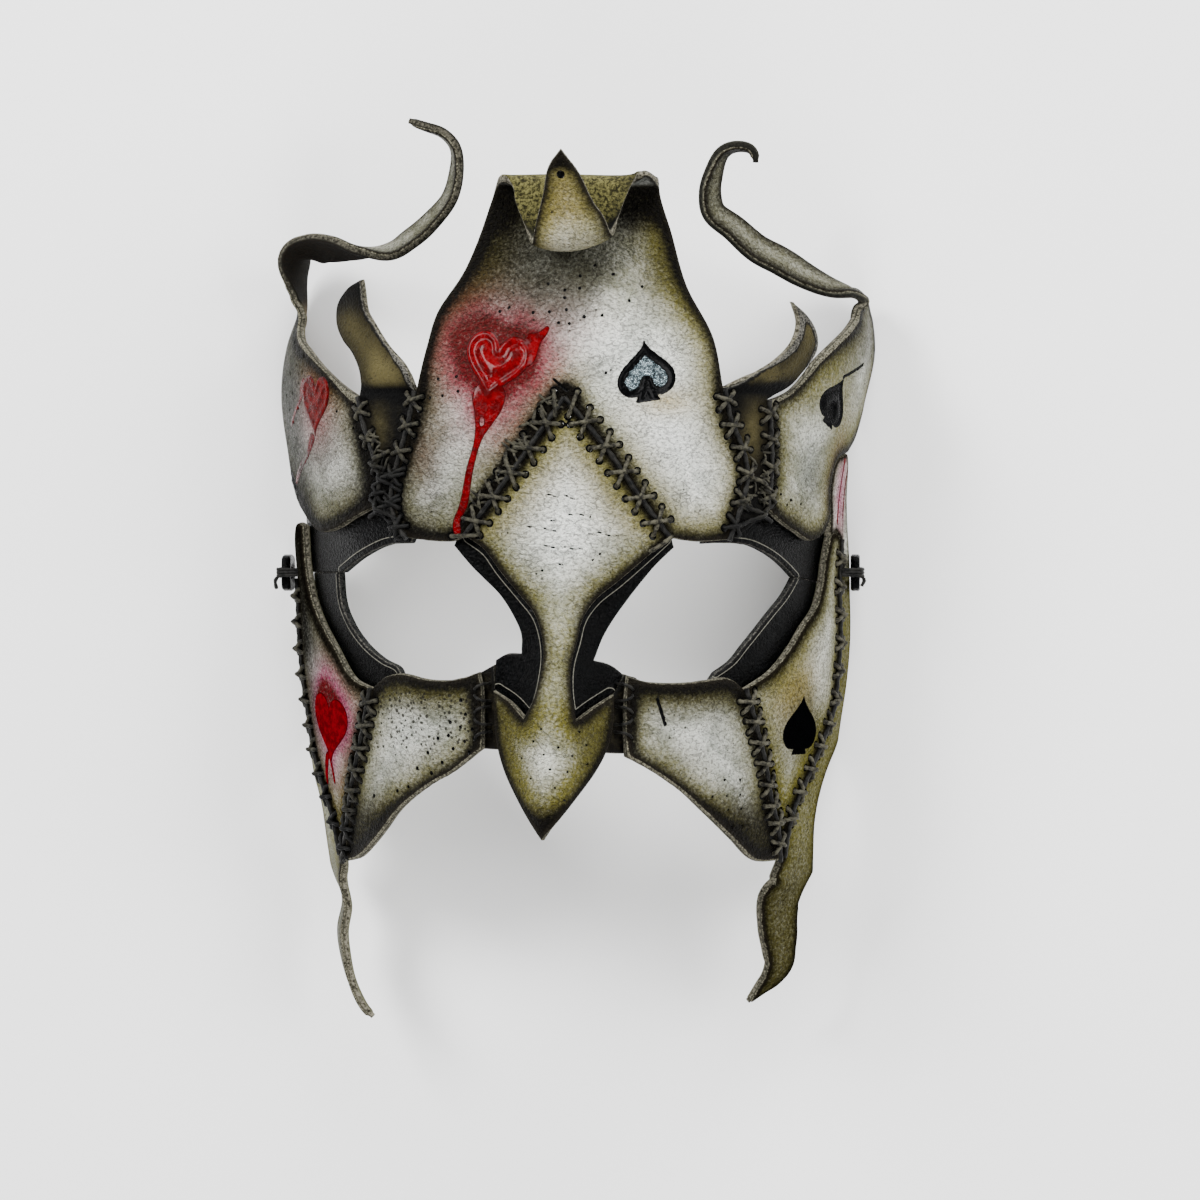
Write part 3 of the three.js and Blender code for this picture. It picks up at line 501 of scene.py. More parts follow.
def art_distance(points, art):
    best = np.full(len(points), FAR)
    rings = list(art.get("hearts", ())) + list(art.get("drips", ()))
    rings += [ring for pair in art.get("spades", ()) for ring in pair]
    for ring in rings:
        best = np.minimum(best, signed_distance(points, ring))
    for stroke in art.get("strokes", ()):
        best = np.minimum(best, stroke_distance(points, stroke))
    for path, offset in art.get("lines", ()):
        best = np.minimum(best, 0.3 + abs(distance_to(points, path, closed=False) - offset))
    return best


def scatter(ring, holes, art):
    low, high = ring.min(axis=0), ring.max(axis=0)
    loose = hexagons(low, high, GRID)
    loose = loose[inside(loose, ring)]
    loose = loose[(distance_to(loose, ring) > 1.5) & (art_distance(loose, art) > CARVED)]
    parts = [loose]
    if art:
        fine = hexagons(low, high, FINE_GRID)
        fine = fine[art_distance(fine, art) <= CARVED] if len(fine) else fine
        fine = fine[inside(fine, ring)]
        parts.append(fine[distance_to(fine, ring) > 0.8])
    for depth in EDGE_ROWS:
        row = inset(ring, depth)
        row = row[inside(row, ring)]
        parts.append(row[distance_to(row, ring) > 0.85 * depth])
    points = np.vstack(parts)
    for hole in holes:
        points = points[np.linalg.norm(points - hole, axis=1) > 1.5 * HOLE]
        points = np.vstack([points, circle(hole, 1.35 * HOLE, start=0.3), circle(hole, 1.9 * HOLE)])
    return points[inside(points, ring)]


print("points inside a 10 mm tile:", len(scatter(tile, [], {})))


# %% Fill the outline with triangles
def triangulate(ring, holes, points):
    rings = [ring] + [circle(hole, HOLE) for hole in holes]
    vertices, edges = [], []
    for loop in rings:
        first = len(vertices)
        vertices.extend(Vector(p) for p in loop)
        edges.extend((first + i, first + (i + 1) % len(loop)) for i in range(len(loop)))
    vertices.extend(Vector(p) for p in points)
    found, _, faces, *_ = delaunay_2d_cdt(vertices, edges, [], 0, 1e-5, False)
    found = np.array([tuple(v) for v in found])
    faces = np.array(faces)
    middle = found[faces].mean(axis=1)
    kept = inside(middle, ring)
    for hole in holes:
        kept &= np.linalg.norm(middle - hole, axis=1) > 0.9 * HOLE
    faces = faces[kept]
    used = np.unique(faces)
    number = np.full(len(found), -1)
    number[used] = np.arange(len(used))
    return found[used], number[faces]


print("triangles in the tile:", len(triangulate(tile, [], scatter(tile, [], {}))[1]))


# %% Give the sheet its thickness
def rolled(distance, radius):
    """How far a rubbed edge falls away at a distance from the cut."""
    return radius - np.sqrt(np.maximum(radius ** 2 - np.maximum(radius - distance, 0) ** 2, 0))


def rim_loops(faces):
    """Directed edges that have no face on their other side."""
    sides = np.vstack([faces[:, [0, 1]], faces[:, [1, 2]], faces[:, [2, 0]]])
    known = {tuple(side) for side in sides}
    return np.array([side for side in known if (side[1], side[0]) not in known])


def thicken(ring, holes, art, points, faces, form, lift):
    """Vertices, faces and their parts: 0 grain, 1 cut edge, 2 flesh."""
    edge = distance_to(points, ring)
    paint, rise = read_art(points, art)
    to_hole = np.full(len(points), FAR)
    for hole in holes:
        to_hole = np.minimum(to_hole, np.linalg.norm(points - hole, axis=1) - HOLE)
    paint["ink"] = np.minimum(paint["ink"], to_hole - HOLE_RING)
    half = LEATHER / 2
    dip = HOLE_DIP * np.exp(-((np.maximum(to_hole, 0) / DIP_REACH) ** 2))
    grain = half - rolled(edge, ROLL) + rise * ease(edge / 1.5) - dip
    flesh = -half + rolled(edge, FLESH_ROLL)
    rims = rim_loops(faces)
    run = points[rims[:, 1]] - points[rims[:, 0]]
    outward = np.zeros((len(points), 2))
    for end in (0, 1):
        np.add.at(outward, rims[:, end], np.column_stack([run[:, 1], -run[:, 0]]))
    rim = np.unique(rims)
    push = outward[rim] / np.linalg.norm(outward[rim], axis=1)[:, None]
    ragged = 0.5 + 0.5 * np.sin(7.1 * points[rim, 0] + 3 * np.sin(5.3 * points[rim, 1]))
    push *= np.where(edge[rim] < 0.1, 0.05 + 0.09 * ragged, 0)[:, None]
    rows = [lifted(form, points, lift + grain)]
    for share in (0.62, 0.3):
        height = flesh[rim] + (grain[rim] - flesh[rim]) * share
        rows.append(lifted(form, points[rim] + push, lift + height))
    rows.append(lifted(form, points, lift + flesh))
    n, m = len(points), len(rim)
    slot_of = np.full(n, -1)
    slot_of[rim] = np.arange(m)
    a, b = rims[:, 0], rims[:, 1]
    levels = [(a, b), (n + slot_of[a], n + slot_of[b]), (n + m + slot_of[a], n + m + slot_of[b])]
    levels.append((n + 2 * m + a, n + 2 * m + b))
    walls = [np.column_stack([q, p, r, t]) for (p, q), (r, t) in zip(levels, levels[1:])]
    back = faces[:, ::-1] + n + 2 * m
    polygons = faces.tolist() + np.vstack(walls).tolist() + back.tolist()
    parts = [0] * len(faces) + [1] * sum(map(len, walls)) + [2] * len(back)
    flat = np.vstack([points, points[rim], points[rim], points])
    bare = np.full(2 * m + n, FAR)
    fields = {name: np.concatenate([distance, bare]) for name, distance in paint.items()}
    fields["edge"] = np.concatenate([edge, np.zeros(2 * m), edge])
    fields["side"] = np.repeat([0, 1, 2], [n, 2 * m, n])
    vertices = np.vstack(rows)
    vertices[np.abs(flat[:, 0]) > REAR - SEAM_GAP, 2] = REAR_PLANE
    return vertices, polygons, parts, flat, fields


print("the grain side falls by", float(rolled(0.0, ROLL)), "mm at a cut, the flesh side by", FLESH_ROLL)

# %% [markdown]
# ## Dye, grain and wear
# The colour comes in layers, as it does with an airbrush: a grey ground, almost white where it was
# kept clean, with a fine dark speckle, then olive and soot misted along the seams, pink round the
# hearts, and a burnished line where the edge was rubbed. The soot layer also carries painted shade:
# on sides and a fold of the crown turned from the light, under the crown's flap and on the flesh
# inside the left horn. The pale layer carries a painted highlight along that fold. It could be one
# painted picture, but layers of noise stay sharp however close the camera comes. Each layer that
# several leathers share is a node group with named sockets, so every leather mixes the same effects
# in its own measure.

# %% Make groups and link sockets
def new_group(name, inputs, outputs):
    tree = bpy.data.node_groups.new(name, "ShaderNodeTree")
    for title, kind, value in inputs:
        socket = tree.interface.new_socket(name=title, in_out="INPUT", socket_type="NodeSocket" + kind)
        socket.default_value = value
    for title, kind in outputs:
        tree.interface.new_socket(name=title, in_out="OUTPUT", socket_type="NodeSocket" + kind)
    return tree, tree.nodes.new("NodeGroupInput"), tree.nodes.new("NodeGroupOutput")


def feed(tree, socket, value):
    """Links a socket to another, or gives it a plain value."""
    if isinstance(value, bpy.types.NodeSocket):
        tree.links.new(value, socket)
    elif value is not None:
        socket.default_value = value


def use(tree, group, **inputs):
    """Puts a group into a tree, with its inputs by their names."""
    node = tree.nodes.new("ShaderNodeGroup")
    node.node_tree = group
    for name, value in inputs.items():
        feed(tree, node.inputs[name.replace("_", " ").title()], value)
    return node.outputs


def field(tree, name):
    """A value that is stored on the points of the mesh."""
    node = tree.nodes.new("ShaderNodeAttribute")
    node.attribute_name = name
    return node.outputs["Fac"]


def bench(tree):
    """Places on the object, the same seen from any side."""
    found = tree.nodes.get("bench")
    if not found:
        found = tree.nodes.new("ShaderNodeTexCoord")
        found.name = "bench"
    return found.outputs["Object"]


print("groups before the first leather:", len(bpy.data.node_groups))


# %% Sums, steps and mixtures
def maths(tree, operation, a, b=None, clamp=False):
    node = tree.nodes.new("ShaderNodeMath")
    node.operation, node.use_clamp = operation, clamp
    feed(tree, node.inputs[0], a)
    feed(tree, node.inputs[1], b)
    return node.outputs[0]


def plus(tree, a, b):
    return maths(tree, "ADD", a, b)


def minus(tree, a, b, clamp=False):
    return maths(tree, "SUBTRACT", a, b, clamp)


def times(tree, a, b):
    return maths(tree, "MULTIPLY", a, b)


def span(tree, value, low, high, to_low=0.0, to_high=1.0):
    """A smooth step from low to high."""
    node = tree.nodes.new("ShaderNodeMapRange")
    node.interpolation_type = "SMOOTHSTEP"
    for name, number in (("From Min", low), ("From Max", high), ("To Min", to_low), ("To Max", to_high)):
        feed(tree, node.inputs[name], number)
    feed(tree, node.inputs["Value"], value)
    return node.outputs["Result"]


def mixed(tree, factor, a, b):
    """Colour a, covered by colour b as far as the factor says."""
    node = tree.nodes.new("ShaderNodeMix")
    node.data_type = "RGBA"
    feed(tree, node.inputs[0], factor)
    feed(tree, node.inputs[6], a)
    feed(tree, node.inputs[7], b)
    return node.outputs[2]


print("sums, steps and mixtures ready")


# %% Noise and cells
def noise(tree, size, detail=3.0, roughness=0.55, vector=None, warp=0.0):
    """Noise with features of a size in mm."""
    node = tree.nodes.new("ShaderNodeTexNoise")
    feed(tree, node.inputs["Vector"], vector or bench(tree))
    node.inputs["Scale"].default_value = 1 / (size * MM)
    node.inputs["Detail"].default_value = detail
    node.inputs["Roughness"].default_value = roughness
    node.inputs["Distortion"].default_value = warp
    return node.outputs["Fac"]


def cells(tree, size, feature="F1", vector=None):
    """A cell pattern with cells of a size in mm."""
    node = tree.nodes.new("ShaderNodeTexVoronoi")
    node.feature = feature
    node.inputs["Scale"].default_value = 1 / (size * MM)
    feed(tree, node.inputs["Vector"], vector or bench(tree))
    return node.outputs


def ridge(tree, value, width):
    """0 along the lines where a noise crosses its middle, 1 away from them."""
    return span(tree, maths(tree, "ABSOLUTE", minus(tree, value, 0.5)), 0.0, width)


print("a noise of 1 mm has a scale of", round(1 / MM))

# %% The grain of the leather
PEBBLE, CRACK, WRINKLE, HAIR = 0.85, 1.5, 2.4, 0.42  # sizes in mm


def make_leather_grain():
    tree, given, result = new_group(
        "leather_grain",
        [("Crease Depth", "Float", 0.12), ("Hair Depth", "Float", 0.05)],
        [("Height", "Float"), ("Speckle", "Float"), ("Mottle", "Float"), ("Worn", "Float"),
         ("Crease", "Float")])
    drawn = tree.nodes.new("ShaderNodeMapping")
    drawn.inputs["Scale"].default_value = (0.88, 1.12, 1.0)
    tree.links.new(bench(tree), drawn.inputs["Vector"])
    along_grain = drawn.outputs["Vector"]
    pebble = span(tree, noise(tree, PEBBLE, 3, 0.6, along_grain), 0.32, 0.68)
    cracks = span(tree, cells(tree, CRACK, "DISTANCE_TO_EDGE", along_grain)["Distance"], 0.0, 0.2)
    wrinkle = ridge(tree, noise(tree, WRINKLE, 2, 0.5, along_grain, 0.6), 0.05)
    patch = span(tree, noise(tree, 7.0, 2, 0.5), 0.5, 0.64)
    wrinkle = times(tree, minus(tree, 1.0, wrinkle), patch)
    fold = plus(tree, pebble, times(tree, cracks, 0.5))
    fold = minus(tree, fold, times(tree, wrinkle, 0.6))
    hair = noise(tree, HAIR, 2, 0.7)
    height = times(tree, fold, given.outputs["Crease Depth"])
    height = plus(tree, height, times(tree, hair, given.outputs["Hair Depth"]))
    tree.links.new(height, result.inputs["Height"])
    fine = span(tree, noise(tree, 0.7, 3, 0.75), 0.5, 0.68)
    broad = span(tree, noise(tree, 9, 4, 0.6), 0.38, 0.66)
    speckle = times(tree, fine, span(tree, broad, 0, 1, 0.4, 1.0))
    tree.links.new(speckle, result.inputs["Speckle"])
    tree.links.new(noise(tree, 12, 5, 0.68, warp=0.6), result.inputs["Mottle"])
    tree.links.new(noise(tree, 2.2, 4, 0.65), result.inputs["Worn"])
    tree.links.new(minus(tree, 1.0, span(tree, fold, 0.15, 0.75)), result.inputs["Crease"])
    return tree


def make_pocks():
    """Scattered small dents: a share of the cells get one, each of its own size."""
    tree, given, result = new_group("pocks", [("Amount", "Float", 0.1)], [("Mask", "Float")])
    cell = cells(tree, 1.35)
    dice = tree.nodes.new("ShaderNodeSeparateColor")
    tree.links.new(cell["Color"], dice.inputs["Color"])
    chosen = span(tree, minus(tree, given.outputs["Amount"], dice.outputs["Red"]), 0.0, 0.04)
    size = span(tree, dice.outputs["Green"], 0.0, 1.0, 0.1, 0.24)
    size = plus(tree, size, times(tree, given.outputs["Amount"], 0.14))
    wander = times(tree, minus(tree, noise(tree, 0.6, 2, 0.6), 0.5), 0.25)
    depth = minus(tree, size, plus(tree, cell["Distance"], wander))
    tree.links.new(times(tree, span(tree, depth, -0.03, 0.05), chosen), result.inputs["Mask"])
    return tree


leather_grain, pocks = make_leather_grain(), make_pocks()
print("grain:", len(leather_grain.nodes), "nodes, pocks:", len(pocks.nodes), "nodes")

# %% The airbrush
CLOUD_GREY = (0.33, 0.35, 0.31, 1)
# Colour of the pale layer: leather kept clean, and a painted highlight on the crown
CLEAN_WHITE_AND_HIGHLIGHT = (0.86, 0.875, 0.84, 1)
TAN_DYE = (0.31, 0.235, 0.07, 1)
OLIVE_DYE = (0.135, 0.122, 0.022, 1)
DEEP_PINK = (0.11, 0.0003, 0.005, 1)
SPECK = (0.028, 0.028, 0.022, 1)
# Darkens the creases of the grain
CREASE_DARKENING = (0.02, 0.02, 0.015, 1)
# Colours of the dark misted layer: dye along seams and edges, and painted shade in places
THIN_SOOT_AND_SHADE, THICK_SOOT_AND_SHADE = (0.014, 0.0115, 0.0065, 1), (0.003, 0.0025, 0.0018, 1)


def make_airbrush():
    tree, given, result = new_group(
        "airbrush",
        [("Ground", "Color", (0.6, 0.6, 0.6, 1)), ("Olive", "Float", 0), ("Tan", "Float", 0),
         ("Pink", "Float", 0), ("Blush", "Color", (0.27, 0.01, 0.038, 1)), ("Pale", "Float", 0),
         ("Soot", "Float", 0), ("Speckle", "Float", 0), ("Mottle", "Float", 0.5), ("Crease", "Float", 0)],
        [("Color", "Color")])
    given = given.outputs
    droplets = minus(tree, noise(tree, 0.9, 3, 0.7), 0.5)
    droplets = plus(tree, 1.0, times(tree, droplets, 1.3))

    def misted(mask, power):
        """A mist by how dense it looks, which the power turns into how much light it stops."""
        clear = minus(tree, 1.0, times(tree, mask, droplets), clamp=True)
        return minus(tree, 1.0, maths(tree, "POWER", clear, power))

    colour = mixed(tree, span(tree, given["Mottle"], 0.36, 0.66), given["Ground"], CLOUD_GREY)
    blush = mixed(tree, span(tree, given["Pink"], 0.55, 1.0), given["Blush"], DEEP_PINK)
    soot_and_shade_tone = mixed(tree, span(tree, given["Soot"], 0.2, 0.8), THIN_SOOT_AND_SHADE, THICK_SOOT_AND_SHADE)
    for cover, paint in (
            (misted(given["Pale"], 1.0), CLEAN_WHITE_AND_HIGHLIGHT), (misted(given["Tan"], 1.4), TAN_DYE),
            (misted(given["Olive"], 1.4), OLIVE_DYE), (misted(given["Pink"], 1.4), blush),
            (times(tree, given["Speckle"], 0.42), SPECK), (times(tree, given["Crease"], 0.5), CREASE_DARKENING),
            (misted(given["Soot"], 2.2), soot_and_shade_tone)):
        colour = mixed(tree, cover, colour, paint)
    tree.links.new(colour, result.inputs["Color"])
    return tree


airbrush = make_airbrush()
print("airbrush:", len(airbrush.nodes), "nodes")


# %% The rubbed edge and the enamels
def make_rubbed_edge():
    tree, given, result = new_group(
        "rubbed_edge", [("Edge", "Float", 5), ("Width", "Float", 1.4), ("Bare", "Float", 0.3)],
        [("Mask", "Float"), ("Fibre", "Float"), ("Fleck", "Float")])
    wander = minus(tree, noise(tree, 1.6, 3, 0.7), 0.5)
    beyond = minus(tree, given.outputs["Edge"], given.outputs["Bare"])
    near = plus(tree, beyond, times(tree, wander, 1.6))
    tree.links.new(minus(tree, 1.0, span(tree, near, 0.1, given.outputs["Width"])), result.inputs["Mask"])
    crisp = plus(tree, beyond, times(tree, wander, 0.5))
    tree.links.new(minus(tree, 1.0, span(tree, crisp, -0.12, 0.12)), result.inputs["Fibre"])
    tree.links.new(span(tree, noise(tree, 0.55, 4, 0.75), 0.36, 0.66), result.inputs["Fleck"])
    return tree


def make_enamel():
    """Full where the distance from a painted outline is below zero."""
    tree, given, result = new_group(
        "enamel_line", [("Distance", "Float", 9), ("Ragged", "Float", 0.2)], [("Mask", "Float")])
    wander = minus(tree, noise(tree, 0.9, 2, 0.6), 0.5)
    line = plus(tree, given.outputs["Distance"], times(tree, wander, given.outputs["Ragged"]))
    tree.links.new(minus(tree, 1.0, span(tree, line, -0.06, 0.06)), result.inputs["Mask"])
    return tree


rubbed_edge, enamel_line = make_rubbed_edge(), make_enamel()
print("node groups:", ", ".join(tree.name for tree in bpy.data.node_groups))


# %% What every leather has
def new_material(name, roughness=0.5, gloss=0.15, coat_roughness=0.1, sheen=0.0):
    material = bpy.data.materials.new(name)
    material.use_nodes = True
    shader = material.node_tree.nodes["Principled BSDF"]
    shader.inputs["Roughness"].default_value = roughness
    shader.inputs["Specular IOR Level"].default_value = gloss
    shader.inputs["Coat Roughness"].default_value = coat_roughness
    shader.inputs["Sheen Weight"].default_value = sheen
    return material, material.node_tree, shader


def bump(tree, shader, height):
    """Carves a height in mm into the surface."""
    node = tree.nodes.new("ShaderNodeBump")
    node.inputs["Distance"].default_value = MM
    tree.links.new(height, node.inputs["Height"])
    tree.links.new(node.outputs["Normal"], shader.inputs["Normal"])


def enamelled(tree, name, ragged):
    """Where the enamel of one kind lies."""
    return use(tree, enamel_line, distance=field(tree, name), ragged=ragged)["Mask"]


def edge_layers(tree, colour, width, dark, light):
    """A dark rubbed line beside each cut, and bare fibre on its very rim."""
    rub = use(tree, rubbed_edge, edge=field(tree, "edge"), width=width, bare=field(tree, "bare"))
    colour = mixed(tree, rub["Mask"], colour, (*dark, 1))
    fibre = mixed(tree, rub["Fleck"], (*dark, 1), (*light, 1))
    return mixed(tree, rub["Fibre"], colour, fibre)


print("bump heights are in steps of", MM, "m")

# %% The airbrushed grain side
# Red enamels, each fresh and worn, and the mists that bleed from them
SCARLET = ((0.115, 0.00001, 0.0018, 1), (0.045, 0.00001, 0.0006, 1))
CRIMSON = ((0.12, 0.00001, 0.004, 1), (0.055, 0.00001, 0.002, 1))
ROSE = ((0.075, 0.00001, 0.0002, 1), (0.032, 0.00001, 0.0001, 1))
PINK_MIST = (0.27, 0.01, 0.038, 1)
MAGENTA_MIST = (0.30, 0.012, 0.10, 1)
# Darkening in the dents, ink, rubbed edge and foil
DENT_DARKENING = (0.012, 0.011, 0.008, 1)
INK = (0.0010, 0.0011, 0.0013, 1)
BURNISH, BARE_FIBRE = (0.009, 0.0075, 0.005), (0.25, 0.235, 0.17)
FOIL_SHADE, FOIL = (0.02, 0.032, 0.038, 1), (0.38, 0.48, 0.52, 1)
RED_RIM = (0.015, 0.00005, 0.0001, 1)
GRAIN_ROUGHNESS = 0.46


def grain_colour(tree, grain, dents, ground, edge_width, mist):
    """The misted ground with its dents and its rubbed edge."""
    dyes = {name: field(tree, name) for name in ("olive", "tan", "pink", "pale", "soot")}
    colour = use(tree, airbrush, ground=(*ground, 1), blush=mist, speckle=grain["Speckle"],
                 mottle=grain["Mottle"], crease=grain["Crease"], **dyes)["Color"]
    colour = mixed(tree, times(tree, dents, 0.85), colour, DENT_DARKENING)
    return edge_layers(tree, colour, edge_width, BURNISH, BARE_FIBRE)


def grain_leather(name, ground, edge_width, gloss, enamel_coat, paint=SCARLET, mist=PINK_MIST):
    """Airbrushed grain side, with red, black and silver enamel where the artwork has them."""
    material, tree, shader = new_material(name, gloss=gloss, coat_roughness=0.07)
    grain = use(tree, leather_grain, crease_depth=0.62)
    dents = use(tree, pocks, amount=field(tree, "pocked"))["Mask"]
    colour = grain_colour(tree, grain, dents, ground, edge_width, mist)
    red, ink, silver = (
        enamelled(tree, kind, ragged) for kind, ragged in (("red", 0.35), ("ink", 0.5), ("silver", 1.1)))
    foil = mixed(tree, span(tree, noise(tree, 1.1, 4, 0.8), 0.4, 0.62), FOIL_SHADE, FOIL)
    enamel = mixed(tree, span(tree, grain["Worn"], 0.38, 0.62), *paint)
    enamel = mixed(tree, span(tree, field(tree, "red"), -0.4, 0.0), enamel, RED_RIM)
    for mask, layer in ((ink, INK), (silver, foil), (red, enamel)):
        colour = mixed(tree, mask, colour, layer)
    tree.links.new(colour, shader.inputs["Base Color"])
    base = span(tree, grain["Worn"], 0.3, 0.7, GRAIN_ROUGHNESS - 0.08, GRAIN_ROUGHNESS + 0.1)
    shine = maths(tree, "MAXIMUM", red, times(tree, ink, 0.6))
    matt = minus(tree, 1.0, times(tree, shine, 0.82))
    tree.links.new(times(tree, base, matt), shader.inputs["Roughness"])
    tree.links.new(times(tree, silver, 0.8), shader.inputs["Metallic"])
    tree.links.new(times(tree, shine, enamel_coat), shader.inputs["Coat Weight"])
    scribble = times(tree, noise(tree, 0.8, 3, 0.7), times(tree, silver, 0.7))
    lumps = times(tree, noise(tree, 1.6, 2, 0.5), times(tree, red, 0.3))
    smooth = minus(tree, 1.0, times(tree, red, 0.85))
    height = plus(tree, times(tree, grain["Height"], smooth), scribble)
    height = minus(tree, height, times(tree, dents, 0.35))
    bump(tree, shader, plus(tree, height, lumps))
    return material


GREY_GROUND, SIDE_GROUND, OLIVE_GROUND = (0.80, 0.81, 0.75), (0.76, 0.77, 0.71), (0.22, 0.215, 0.14)
grey_grain = grain_leather("airbrushed_grey_leather", GREY_GROUND, 1.5, 0.03, 0.1)
side_grain = grain_leather("airbrushed_side_leather", SIDE_GROUND, 1.5, 0.0, 0.0, CRIMSON, MAGENTA_MIST)
wing_grain = grain_leather("airbrushed_wing_leather", SIDE_GROUND, 1.5, 0.02, 0.02, ROSE)
olive_grain = grain_leather("airbrushed_olive_leather", OLIVE_GROUND, 1.4, 0.02, 0.05)
print("grain sides:", ", ".join(grain.name for grain in (grey_grain, side_grain, wing_grain, olive_grain)))

# %% Dyed leather and raw fibre
UMBER_LIGHT, UMBER_SPECK = (0.095, 0.080, 0.032, 1), (0.018, 0.015, 0.007, 1)
DYE_SOOT = (0.0015, 0.0015, 0.0015, 1)
# Colour of the painted highlight lines on the black strips
PAINTED_HIGHLIGHT_GREY = (0.17, 0.165, 0.135, 1)


def dyed_leather(name, dark, light, roughness, gloss):
    """Dyed through and waxed: black strips and umber gussets."""
    material, tree, shader = new_material(name, roughness, gloss)
    grain = use(tree, leather_grain, crease_depth=0.11, hair_depth=0.02)
    colour = mixed(tree, span(tree, grain["Worn"], 0.45, 0.72), (*dark, 1), (*light, 1))
    tan = mixed(tree, grain["Speckle"], UMBER_LIGHT, UMBER_SPECK)
    colour = mixed(tree, field(tree, "olive"), colour, tan)
    colour = mixed(tree, field(tree, "soot"), colour, DYE_SOOT)
    colour = edge_layers(tree, colour, 0.8, (0.003, 0.003, 0.003), (0.11, 0.105, 0.09))
    line = minus(tree, maths(tree, "ABSOLUTE", field(tree, "highlight_line")), LINE_HALF)
    highlight_line = use(tree, enamel_line, distance=line, ragged=0.2)["Mask"]
    colour = mixed(tree, enamelled(tree, "ink", 0.5), colour, (0.001, 0.001, 0.001, 1))
    colour = mixed(tree, times(tree, highlight_line, 0.7), colour, PAINTED_HIGHLIGHT_GREY)
    tree.links.new(colour, shader.inputs["Base Color"])
    rough = span(tree, grain["Mottle"], 0.3, 0.7, roughness - 0.08, roughness + 0.12)
    tree.links.new(rough, shader.inputs["Roughness"])
    bump(tree, shader, grain["Height"])
    return material


def fibre_leather(name, dark, light, size, depth):
    """Flesh side and cut edges: matted fibres."""
    material, tree, shader = new_material(name, 0.85, 0.04, sheen=0.02)
    mat = noise(tree, size, 5, 0.75)
    colour = mixed(tree, span(tree, mat, 0.4, 0.62), (*dark, 1), (*light, 1))
    # The darkest layer is soot, and on the left horn's flesh side a painted shade
    for cover, dye in (
            (times(tree, field(tree, "olive"), 0.8), (0.12, 0.118, 0.08, 1)),
            (times(tree, field(tree, "pale"), 0.8), (0.34, 0.35, 0.27, 1)),
            (field(tree, "soot"), (0.003, 0.003, 0.0025, 1))):
        colour = mixed(tree, cover, colour, dye)
    tree.links.new(colour, shader.inputs["Base Color"])
    bump(tree, shader, times(tree, mat, depth))
    return material


umber_grain = dyed_leather("umber_leather", (0.005, 0.004, 0.0025), (0.022, 0.019, 0.010), 0.5, 0.03)
black_grain = dyed_leather(
    "black_leather", (0.0003, 0.00035, 0.0004), (0.001, 0.0012, 0.0014), 0.22, 0.032)
cut_edge = fibre_leather("speckled_cut_edge", (0.016, 0.014, 0.009), (0.20, 0.185, 0.14), 0.8, 0.3)
black_edge = fibre_leather("blackened_cut_edge", (0.002, 0.002, 0.002), (0.032, 0.032, 0.03), 0.8, 0.3)
olive_flesh = fibre_leather("olive_flesh_side", (0.012, 0.011, 0.004), (0.13, 0.12, 0.042), 0.9, 0.5)
rust_flesh = fibre_leather("rust_flesh_side", (0.03, 0.012, 0.004), (0.19, 0.085, 0.022), 0.9, 0.5)
black_flesh = fibre_leather("blackened_flesh_side", (0.003, 0.003, 0.003), (0.025, 0.024, 0.02), 0.9, 0.5)
# Each kind of sheet: its grain side, its cut edge and its flesh side
GREY = (grey_grain, cut_edge, olive_flesh)
OLIVE = (olive_grain, cut_edge, olive_flesh)
SIDE = (side_grain, cut_edge, olive_flesh)
WING = (wing_grain, cut_edge, rust_flesh)
UMBER = (umber_grain, cut_edge, olive_flesh)
BLACK = (black_grain, black_edge, black_flesh)
print("leathers:", len({layer.name for kind in (GREY, OLIVE, SIDE, WING, UMBER, BLACK) for layer in kind}))

# %% [markdown]
# ## Seams and stitch holes
# Where two pieces meet, crossed stitches draw them together. On the real mask each cross has one
# level thread and one steep thread, from holes pricked the same way all along the seam. So a seam is
# one line, and a row of crosses on it is a count, a first and a last place, a reach and a slant. The
# holes come from the crosses, and each piece is cut with those that fall on it.

# %% Seam lines, from top to bottom
SEAMS = {
    "diamond_left": [(3.5, 44.5), (-6.5, 30.5), (-17.5, 16.5), (-24.5, 8.5)],
    "diamond_right": [(3.5, 44.5), (15, 31), (24, 19), (33, 8)],
    "crown_left": [(-38, 46.5), (-40.5, 37.5), (-45, 27), (-47.5, 19), (-46.5, 13), (-42.5, 8)],
    "crown_right": [(46.5, 47.5), (49, 40), (54.5, 31), (56.5, 24), (54.5, 16), (51, 7.5)],
    "wing_left": [(-57.5, 45.5), (-55.5, 37), (-52.5, 28), (-51.5, 23), (-54, 16.5)],
    "wing_right": [(61.5, 44.5), (64, 34), (65, 24.5), (64.5, 16)],
    "cheek_left": [(-58.5, -31.5), (-61, -38), (-65.5, -47), (-72.5, -57.5), (-81, -69), (-89, -79)],
    "cheek_right": [(57.5, -31.5), (61, -38), (66.5, -49), (72.5, -61.5), (77, -68), (81, -78)],
    "jaw_left": [
        (-109.5, -2.5), (-108.5, -20), (-107, -32), (-103, -45), (-97, -57), (-92.5, -66), (-90.5, -77)],
    "jaw_right": [
        (106, 8), (104.5, -5), (104.5, -30), (104, -37), (99, -44), (90, -56), (84.5, -65), (83, -77)],
}
LINES = dict(SEAMS, wing_front_left=[(-57.5, 45.5), (-71, 58.5), (-88, 64), (-100, 74), (-101, 90)],
             wing_front_right=[(61.5, 44.5), (76, 56.5), (95, 64), (102, 74)])
